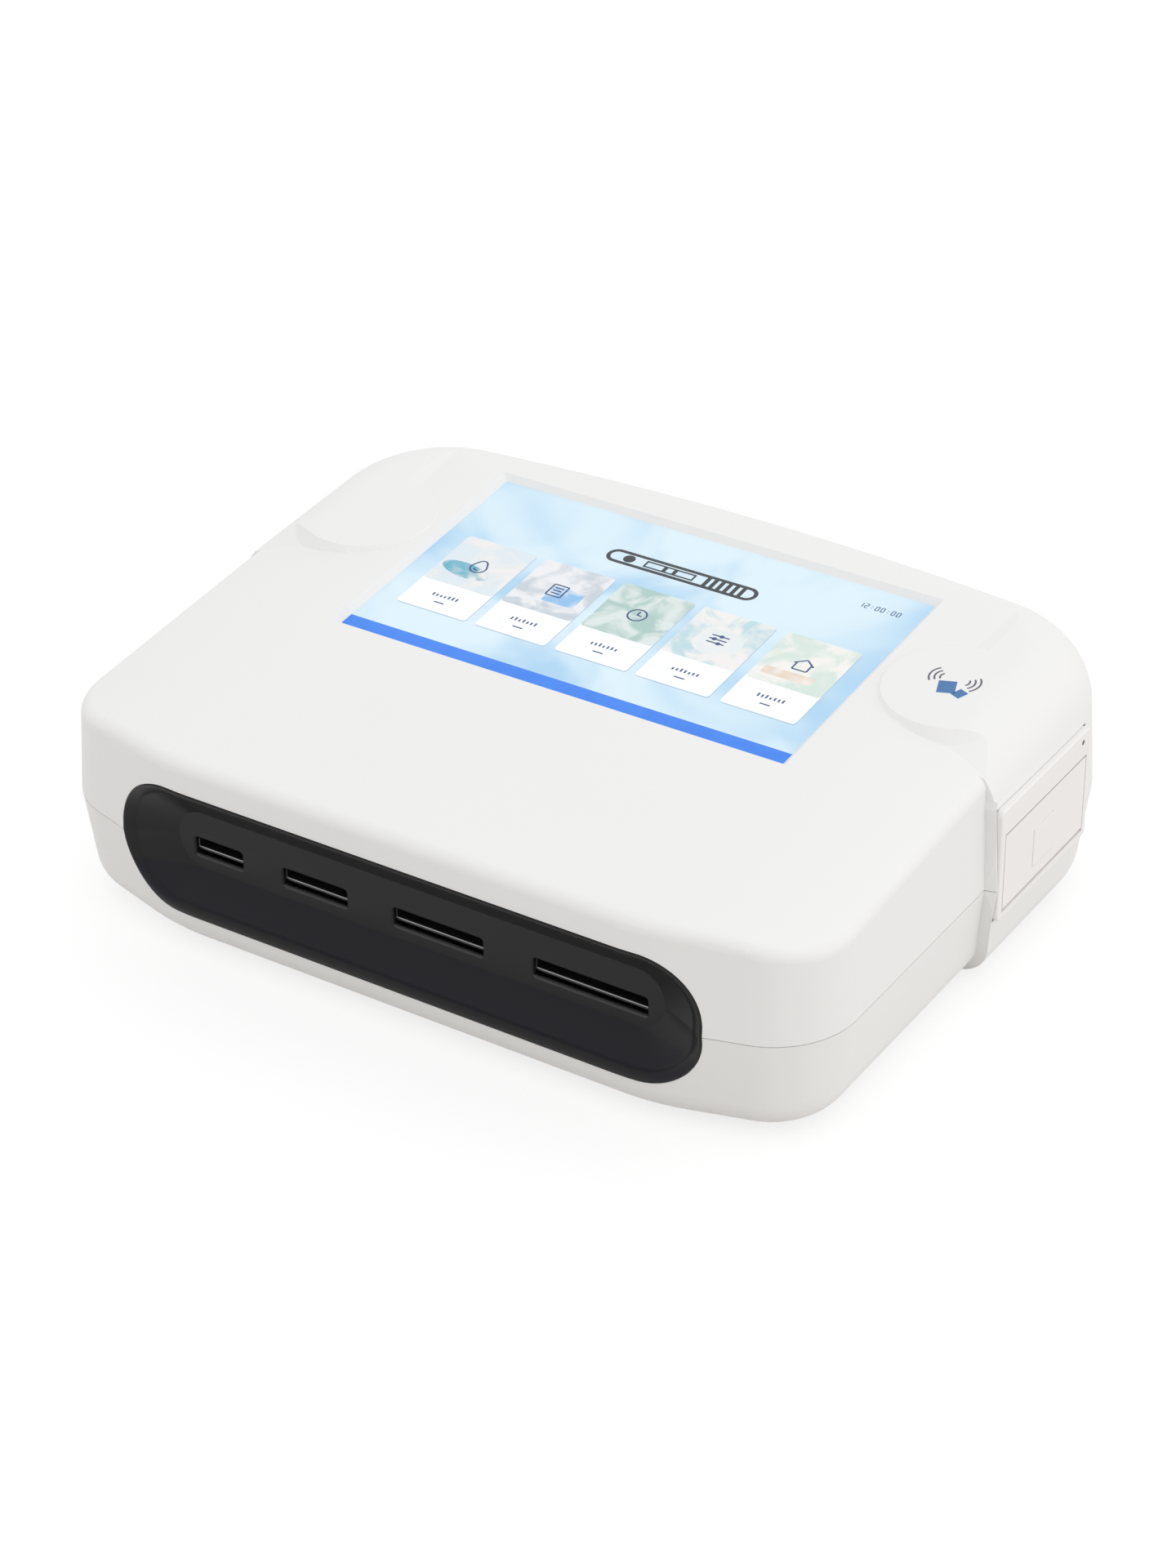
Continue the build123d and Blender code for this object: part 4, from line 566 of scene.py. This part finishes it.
def digits(text, u, v, height, level):
    """Clock figures, the three that it needs, of seven bars each, as a panel clock shows them."""
    lit = {"0": "abcdef", "1": "bc", "2": "abged"}
    w = height * 0.45
    bars = {"a": (0, 2, 1, 2), "b": (1, 2, 1, 1), "c": (1, 1, 1, 0), "d": (0, 0, 1, 0), "e": (0, 1, 0, 0),
            "f": (0, 2, 0, 1), "g": (0, 1, 1, 1)}
    strokes = []
    for place, figure in enumerate(text):
        start = u + place * height * 0.85
        for bar in lit.get(figure, ""):
            x0, y0, x1, y1 = bars[bar]
            strokes.append(line(start + x0 * w, v + y0 * height / 2, start + x1 * w, v + y1 * height / 2,
                                height * 0.16, level))
        if figure == ":":
            strokes += [line(start + w / 2, v + k * height, start + w / 2, v + k * height + height * 0.15,
                             height * 0.16, level) for k in (0.2, 0.65)]
    return strokes


def tile_print(k, u):
    """All that is printed on tile k: its mark, its label and a short line under that."""
    half, drop, width = UNDERLINE
    underline = line(u - half, label_v + drop, u + half, label_v + drop, width, 4 * LAYER_STEP)
    return (tile_mark(k, u, picture_v - 0.001, 5 * LAYER_STEP) + [underline]
            + word(u, label_v, *LABEL_SIZE, k, 4 * LAYER_STEP))


layers = {
    "display_ground": ([on_panel(ground_u, ground_v, 0.0)], GROUND_BLUE),
    "display_bar": ([on_panel(bar_u, bar_v, LAYER_STEP)], BAR_BLUE),
    "display_tile_shades": ([round_tile(u + TILE_SHADE[0], TILE_MIDDLE_V + TILE_SHADE[1], tile_w, tile_d,
                                        TILE_CORNER, LAYER_STEP) for u in TILE_CENTRES], SHADE_BLUE),
    "display_tiles": ([round_tile(u, TILE_MIDDLE_V, tile_w, tile_d, TILE_CORNER, 2 * LAYER_STEP)
                       for u in TILE_CENTRES], TILE_WHITE),
    "display_marks": ([grid for k, u in enumerate(TILE_CENTRES) for grid in tile_print(k, u)], INK_NAVY),
    "display_title": (test_strip(0.0, TITLE_V, LAYER_STEP), INK_BLACK),
    "display_clock": (digits("12:00:00", *CLOCK_PLACE, CLOCK_HEIGHT, LAYER_STEP), INK_NAVY),
}
for k, u in enumerate(TILE_CENTRES):
    deep, pale = HEAD_COLOURS[k]
    head = lit_layer(f"display picture {k + 1}", deep, pale, 70.0, (0.38, 0.60))
    shape = lit_layer(f"display shape {k + 1}", SHAPE_COLOURS[k], pale, 90.0, (0.40, 0.75))
    picture = round_tile(u, picture_v, tile_w, picture_d, TILE_CORNER, 3 * LAYER_STEP)
    layers[f"display_picture_{k + 1}"] = ([picture], head)
    layers[f"display_shape_{k + 1}"] = (head_shapes(k, u, picture_v, 4 * LAYER_STEP), shape)
for name, (patches, material) in layers.items():
    layer = surface_object(name, patches, material)
    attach(layer, "case")


def glass_material():
    """Clear cover glass with a faint unevenness in its polish."""
    material, tree, shader = new_material("cover glass")
    shader.inputs["Base Color"].default_value = (0.98, 0.99, 1.0, 1)
    shader.inputs["Transmission Weight"].default_value = 1.0
    shader.inputs["IOR"].default_value = 1.45
    place = add(tree, "ShaderNodeTexCoord").outputs["Object"]
    smear = add(tree, "ShaderNodeTexNoise", Vector=place, Scale=24.0, Detail=4.0)
    rough = add(tree, "ShaderNodeMapRange", i0=smear.outputs["Fac"], To_Min=0.0, To_Max=0.04)
    tree.links.new(rough.outputs[0], shader.inputs["Roughness"])
    return material


finish_nodes(glass_material(), "screen_glass")


# ---- contactless mark -------------------------------------------------------------------------
# A blue mark pad-printed on the flat of the right shoulder, where a card is held to the reader.
# A plain slanted card with a small tag against it, between two fans of grey arcs.
CARD = ((0.1433, 0.0482), 0.0076, 0.0088, 20)          # middle in plan, width, depth and lean in degrees
TAG = ((0.1502, 0.0462), 0.0046, 0.0056, -22)          # the same of the small tag
ARC_MIDDLES = ((0.1401, 0.0545, 180), (0.1473, 0.0548, 0))     # middle and heading of each fan of arcs
ARC_RADII = (0.0029, 0.0052, 0.0075)
ARC_HALF_SPREAD = 44
ARC_WIDTH = 0.0008
PRINTED_BLUE = (0.060, 0.185, 0.43)
PRINTED_GREY = (0.115, 0.115, 0.16)
SHOULDER_SLOPE = 0.0614356    # radians that the shoulder's flat leans back
SHOULDER_POINT = (0.088, 0.1134208)   # y and z of a point on that flat
INK_HEIGHT = 0.00004


def on_shoulder(x, y):
    """Points of the shoulder's flat over a plan position, lifted by the ink's thickness."""
    z = SHOULDER_POINT[1] + (y - SHOULDER_POINT[0]) * np.tan(SHOULDER_SLOPE) + INK_HEIGHT
    return np.stack([x, y, z], -1)


def printed_arc(cx, cy, radius, start, end, width):
    """Band of a circle: both radii swept over the same angles."""
    a = np.radians(np.linspace(start, end, 26))[None, :]
    r = np.array([radius + width / 2, radius - width / 2])[:, None]
    return on_shoulder(cx + r * np.cos(a), cy + r * np.sin(a))


def printed_card(place, width, depth, lean):
    """Flat rectangle of ink: a square grid scaled to width and depth, then turned by lean degrees."""
    s, t = np.meshgrid(np.linspace(-0.5, 0.5, 8), np.linspace(-0.5, 0.5, 8))
    c, d = np.cos(np.radians(lean)), np.sin(np.radians(lean))
    return on_shoulder(place[0] + s * width * c - t * depth * d, place[1] + s * width * d + t * depth * c)


def printing_ink(name, colour):
    """Matt ink of one colour, as uneven as the pad leaves it."""
    ink, tree, shader = new_material(name)
    surface = add(tree, "ShaderNodeGroup", {"node_tree": MOULDED_GRAIN}, Colour=(*colour, 1), Roughness=0.45,
                  Grain_scale=GRAIN_PER_METRE, Tone=0.2)
    finish_with(tree, shader, surface, 0.000002)
    return ink


cards = [printed_card(*CARD), printed_card(*TAG)]
arcs = [printed_arc(x, y, r, heading - ARC_HALF_SPREAD, heading + ARC_HALF_SPREAD, ARC_WIDTH)
        for x, y, heading in ARC_MIDDLES for r in ARC_RADII]
for name, patches, ink in (("contactless_card", cards, printing_ink("printed blue", PRINTED_BLUE)),
                           ("contactless_arcs", arcs, printing_ink("printed grey", PRINTED_GREY))):
    mark = surface_object(name, patches, ink)
    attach(mark, "case")


# ---- corner of the side step ------------------------------------------------------------------
# Where the wall steps out in front of the printer, a thin web of the upper shell closes the corner
# of the opening. It is moulded with the shell and leans inward with the wall.
WEB_LEVELS = ((0.0765, 0.00936), (0.0790, 0.00930), (0.0862, 0.00930), (0.0880, 0.00985), (0.0900, 0.01030))
WEB_INNER_X = 0.1805
WEB_REAR_Y = 0.00979
WEB_LEAST = 0.0001            # least thickness of the web, where it runs into the shell
LINING = (0.1815, 0.00985, 0.1860, 0.01085)      # behind the corner of the fixed panel, in plan
LINING_ZS = (0.0835, 0.0861)
SIDE_X = 0.18975              # outer face of the rear wall at the parting line, less a hair
WALL_LEAN = np.tan(np.radians(3.8))


def closed_bar(rings):
    """Bar through four-cornered rings (levels, 4, 3); each ring repeats its first corner, and the two ends
    shrink to their middle."""
    loops = [np.vstack([ring, ring[:1]]) for ring in rings]
    ends = [np.repeat(loops[k].mean(0, keepdims=True), 5, 0) for k in (0, -1)]
    return np.stack([ends[0], *loops, ends[1]])


def plan_ring(x0, y0, x1, y1, z):
    """Rectangle in plan at one level, walked round."""
    return np.array([(x0, y0, z), (x1, y0, z), (x1, y1, z), (x0, y1, z)])


def wall_x(z):
    """Outer face of the rear wall at a height."""
    return SIDE_X - (z - PARTING_Z) * WALL_LEAN


web = closed_bar([plan_ring(WEB_INNER_X, front, wall_x(z), max(WEB_REAR_Y, front + WEB_LEAST), z)
                  for z, front in WEB_LEVELS])
lining = closed_bar([plan_ring(*LINING, z) for z in LINING_ZS])
step_web = surface_object("step_web", [web, lining], case_white)
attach(step_web, "case")


# ---- side printer -----------------------------------------------------------------------------
# Frame, hinged door and button are white ABS from another mould, slightly pinker than the shells.
# The light pipe in the corner is dark while the unit is off.
PANEL_WHITE = (0.86, 0.84, 0.832)
finish_nodes(moulded_plastic("printer white", PANEL_WHITE, 0.38), "printer_panel", "printer_door", "door_button")
finish_nodes(moulded_plastic("light pipe", (0.02, 0.02, 0.022), 0.12), "status_light")
finish_nodes(moulded_plastic("printer frame grey", (0.10, 0.105, 0.11), 0.5), "printer_frame")
finish_nodes(moulded_plastic("gear resin", (0.72, 0.69, 0.60), 0.42), "platen_gear", "drive_gear")
finish_nodes(moulded_plastic("platen rubber", (0.022, 0.022, 0.023), 0.62, 0.00001), "platen_roller")
finish_nodes(moulded_plastic("thermal paper", (0.84, 0.84, 0.82), 0.55, 0.000003, 1400.0, 0.03), "paper_roll")


# ---- metal parts ------------------------------------------------------------------------------
# Deck, brackets and screws are zinc-plated steel with a rolled grain; rods and pins are ground;
# the pulleys are turned aluminium, the bushes sintered bronze and the pinion cut brass.
def metal_grain_group():
    """Rolled or turned grain: noise stretched along one axis, as height, roughness and a slight tone."""
    tree, given, out = group_tree(
        "metal grain",
        [("Colour", "NodeSocketColor", (0.6, 0.6, 0.6, 1)), ("Roughness", "NodeSocketFloat", 0.3),
         ("Stretch", "NodeSocketVector", (60.0, 2400.0, 2400.0))],
        [("Colour", "NodeSocketColor"), ("Roughness", "NodeSocketFloat"), ("Height", "NodeSocketFloat")])
    place = add(tree, "ShaderNodeTexCoord").outputs["Object"]
    drawn = add(tree, "ShaderNodeVectorMath", {"operation": "MULTIPLY"}, i0=place, i1=given.outputs["Stretch"])
    lines = add(tree, "ShaderNodeTexNoise", Vector=drawn.outputs[0], Scale=1.0, Detail=3.0)
    patches = add(tree, "ShaderNodeTexNoise", Vector=place, Scale=70.0, Detail=3.0)
    both = add(tree, "ShaderNodeMath", {"operation": "ADD"}, i0=lines.outputs["Fac"], i1=patches.outputs["Fac"])
    swing = add(tree, "ShaderNodeMapRange", i0=both.outputs[0], From_Min=0.6, From_Max=1.4, To_Min=0.9, To_Max=1.08)
    tone = add(tree, "ShaderNodeVectorMath", {"operation": "SCALE"}, i0=given.outputs["Colour"],
               Scale=swing.outputs[0])
    rough = add(tree, "ShaderNodeMath", {"operation": "MULTIPLY_ADD"}, i0=both.outputs[0], i1=0.1,
                i2=given.outputs["Roughness"])
    tree.links.new(tone.outputs[0], out.inputs["Colour"])
    tree.links.new(rough.outputs[0], out.inputs["Roughness"])
    tree.links.new(lines.outputs["Fac"], out.inputs["Height"])
    return tree


METAL_GRAIN = metal_grain_group()
ALONG_X = (60.0, 2400.0, 2400.0)
ALONG_Y = (2400.0, 60.0, 2400.0)
ROUND_Z = (1200.0, 1200.0, 90.0)
METAL_RELIEF = 0.000003


def worked_metal(name, colour, roughness, stretch):
    """Metal with its grain along one direction."""
    material, tree, shader = new_material(name)
    surface = add(tree, "ShaderNodeGroup", {"node_tree": METAL_GRAIN}, Colour=(*colour, 1), Roughness=roughness,
                  Stretch=stretch)
    finish_with(tree, shader, surface, METAL_RELIEF)
    shader.inputs["Metallic"].default_value = 1.0
    return material


plated = worked_metal("plated steel", (0.56, 0.57, 0.58), 0.26, ALONG_X)
finish_nodes(plated, "scanner_deck", "rod_bracket_left", "rod_bracket_right", "screen_bracket", "casing_screws",
             "usb_ports")
finish_nodes(worked_metal("ground steel", (0.66, 0.66, 0.67), 0.12, ALONG_X), "guide_rods", "idler_axle")
finish_nodes(worked_metal("pin steel", (0.62, 0.62, 0.63), 0.16, ALONG_Y), "hinge_pin", "tear_bar")
finish_nodes(worked_metal("coated tray", (0.09, 0.09, 0.095), 0.4, ALONG_X), "screen_module")
finish_nodes(worked_metal("motor can", (0.42, 0.42, 0.43), 0.3, ROUND_Z), "scan_motor", "printer_motor")
finish_nodes(worked_metal("turned aluminium", (0.74, 0.74, 0.75), 0.22, ROUND_Z), "drive_pulley", "idler_pulley")
finish_nodes(worked_metal("heat sink", (0.66, 0.66, 0.68), 0.3, ALONG_Y), "thermal_head")
finish_nodes(worked_metal("sintered bronze", (0.44, 0.29, 0.15), 0.38, ROUND_Z), "carriage_bushes")
finish_nodes(worked_metal("cut brass", (0.70, 0.50, 0.20), 0.2, ALONG_Y), "motor_pinion")


# ---- scanner, boards and ports ----------------------------------------------------------------
# Behind the slots: black card channels with a painted highlight along their front edges, a black sled with its
# lens, a rubber belt.
# The boards are green resist over glass cloth; ports and switch are black mouldings.
GUIDE_BLACK = (0.012, 0.012, 0.0125)
# painted highlight: the bright colour given to the top of the card floor's front edge
EDGE_HIGHLIGHT = (0.55, 0.55, 0.56)
HIGHLIGHT_EDGE_Y = -0.1271              # the painted highlight on the card floor's front edge ends here
HIGHLIGHT_EDGE_Z = 0.04384              # and lies only on its top
HIGHLIGHT_BLUR = 0.0001


def guide_material():
    """Black channel with a painted highlight along the top of its front edge, by place in the object's own
    coordinates.
    """
    material, tree, shader = new_material("guide black")
    place = add(tree, "ShaderNodeSeparateXYZ", Vector=add(tree, "ShaderNodeTexCoord").outputs["Object"])
    edge = add(tree, "ShaderNodeMapRange", i0=place.outputs["Y"], From_Min=HIGHLIGHT_EDGE_Y + HIGHLIGHT_BLUR,
               From_Max=HIGHLIGHT_EDGE_Y - HIGHLIGHT_BLUR)
    top = add(tree, "ShaderNodeMapRange", i0=place.outputs["Z"], From_Min=HIGHLIGHT_EDGE_Z, From_Max=HIGHLIGHT_EDGE_Z + HIGHLIGHT_BLUR)
    both = add(tree, "ShaderNodeMath", {"operation": "MULTIPLY"}, i0=edge.outputs[0], i1=top.outputs[0])
    # painted highlight mixed in along the top of the front edge
    colour = add(tree, "ShaderNodeMix", {"data_type": "RGBA"}, Factor=both.outputs[0])
    colour.inputs[6].default_value = (*GUIDE_BLACK, 1)
    colour.inputs[7].default_value = (*EDGE_HIGHLIGHT, 1)
    surface = add(tree, "ShaderNodeGroup", {"node_tree": MOULDED_GRAIN}, Colour=colour.outputs[2], Roughness=0.3,
                  Grain_scale=GRAIN_PER_METRE, Tone=0.1)
    finish_with(tree, shader, surface, 0.000003)
    return material


finish_nodes(guide_material(), "card_guide_1", "card_guide_2", "card_guide_3", "card_guide_4")
finish_nodes(moulded_plastic("sled black", (0.018, 0.018, 0.019), 0.45), "scan_carriage", "home_switch",
             "main_board_chips", "power_parts", "reading_lens")
finish_nodes(moulded_plastic("board resist", (0.012, 0.13, 0.062), 0.35, 0.000006, 1800.0, 0.2), "main_board",
             "power_board", "sensor_board", "reader_board")
finish_nodes(moulded_plastic("belt rubber", (0.02, 0.02, 0.02), 0.66, 0.00001), "drive_belt")
finish_nodes(moulded_plastic("rear plate grey", (0.13, 0.135, 0.14), 0.5), "rear_panel")
finish_nodes(moulded_plastic("port black", (0.016, 0.016, 0.017), 0.4), "network_port", "power_inlet",
             "switch_body", "power_rocker")
finish_nodes(moulded_plastic("foot rubber", (0.03, 0.03, 0.031), 0.7, 0.00001), "rubber_feet")


# ---- floor, light and camera ------------------------------------------------------------------
# A pale floor under a plain white surround, with a broad weak lamp at the right and one above.
FLOOR_TONE = (0.67, 0.635, 0.60)      # what the floor throws back at the case
FLOOR_SEEN = 0.30             # how much of its light the floor shows the camera, which carries the shadow
FLOOR_GLOW = 0.74             # and the even light that is added to that, up to white
FLOOR_REACH = 6.0
SURROUND_LIGHT = 0.915
CAMERA_PLACE = (0.74135, -1.15108, 0.90174)
CAMERA_RIGHT = (0.84346, 0.53714, -0.00827)
CAMERA_UP = (-0.27960, 0.45209, 0.84704)
CAMERA_BACK = (0.45871, -0.71212, 0.53149)
CAMERA_LENS = 87.19
LAMP_AIM = Vector((0, 0, 0.05))       # middle of the object

floor_mesh = bpy.data.meshes.new("floor")
floor_mesh.from_pydata([(-FLOOR_REACH, -FLOOR_REACH, 0), (FLOOR_REACH, -FLOOR_REACH, 0),
                        (FLOOR_REACH, FLOOR_REACH, 0), (-FLOOR_REACH, FLOOR_REACH, 0)], [], [(0, 1, 2, 3)])
floor = bpy.data.objects.new("floor", floor_mesh)
bpy.context.scene.collection.objects.link(floor)
floor_material, floor_tree, floor_shader = new_material("pale floor")
seen = add(floor_tree, "ShaderNodeLightPath")
direct = add(floor_tree, "ShaderNodeMath", {"operation": "MAXIMUM"}, i0=seen.outputs["Is Camera Ray"],
             i1=seen.outputs["Is Glossy Ray"])
direct = add(floor_tree, "ShaderNodeMath", {"operation": "MAXIMUM"}, i0=direct.outputs[0],
             i1=seen.outputs["Is Transmission Ray"])
floor_colour = add(floor_tree, "ShaderNodeMix", {"data_type": "RGBA"}, Factor=direct.outputs[0])
floor_colour.inputs[6].default_value = (*FLOOR_TONE, 1)
floor_colour.inputs[7].default_value = (FLOOR_SEEN, FLOOR_SEEN, FLOOR_SEEN, 1)
floor_glow = add(floor_tree, "ShaderNodeMath", {"operation": "MULTIPLY"}, i0=direct.outputs[0], i1=FLOOR_GLOW)
floor_tree.links.new(floor_glow.outputs[0], floor_shader.inputs["Emission Strength"])
floor_shader.inputs["Emission Color"].default_value = (1, 1, 1, 1)
floor_tree.links.new(floor_colour.outputs[2], floor_shader.inputs["Base Color"])
floor_shader.inputs["Roughness"].default_value = 1.0
floor_shader.inputs["Specular IOR Level"].default_value = 0.0
floor.data.materials.append(floor_material)

world = bpy.data.worlds.new("surround")
bpy.context.scene.world = world
world.use_nodes = True
sky = world.node_tree
sky_light = sky.nodes["Background"]
sky_light.inputs["Color"].default_value = (1, 1, 1, 1)
sky_seen = add(sky, "ShaderNodeLightPath")
sky_direct = add(sky, "ShaderNodeMath", {"operation": "MAXIMUM"}, i0=sky_seen.outputs["Is Camera Ray"],
                 i1=sky_seen.outputs["Is Transmission Ray"])
sky_direct = add(sky, "ShaderNodeMath", {"operation": "MAXIMUM"}, i0=sky_direct.outputs[0],
                 i1=sky_seen.outputs["Is Glossy Ray"])
sky_level = add(sky, "ShaderNodeMapRange", i0=sky_direct.outputs[0], To_Min=SURROUND_LIGHT, To_Max=1.0)
sky.links.new(sky_level.outputs[0], sky_light.inputs["Strength"])


def soft_lamp(name, place, size, power):
    """Square lamp that faces the middle of the object."""
    data = bpy.data.lights.new(name, "AREA")
    data.size = size
    data.energy = power
    lamp = bpy.data.objects.new(name, data)
    bpy.context.scene.collection.objects.link(lamp)
    lamp.location = place
    lamp.rotation_euler = (Vector(place) - LAMP_AIM).to_track_quat("Z", "Y").to_euler()


soft_lamp("side lamp", (2.2, 0.3, 0.4), 1.2, 7.5)
soft_lamp("top lamp", (0.2, 0.3, 2.3), 1.8, 5.5)

camera_data = bpy.data.cameras.new("camera")
camera_data.lens = CAMERA_LENS
camera = bpy.data.objects.new("camera", camera_data)
bpy.context.scene.collection.objects.link(camera)
axes = Matrix((CAMERA_RIGHT, CAMERA_UP, CAMERA_BACK)).transposed()
camera.matrix_world = Matrix.Translation(CAMERA_PLACE) @ axes.to_4x4()
bpy.context.scene.camera = camera
bpy.context.scene.view_settings.view_transform = "Standard"
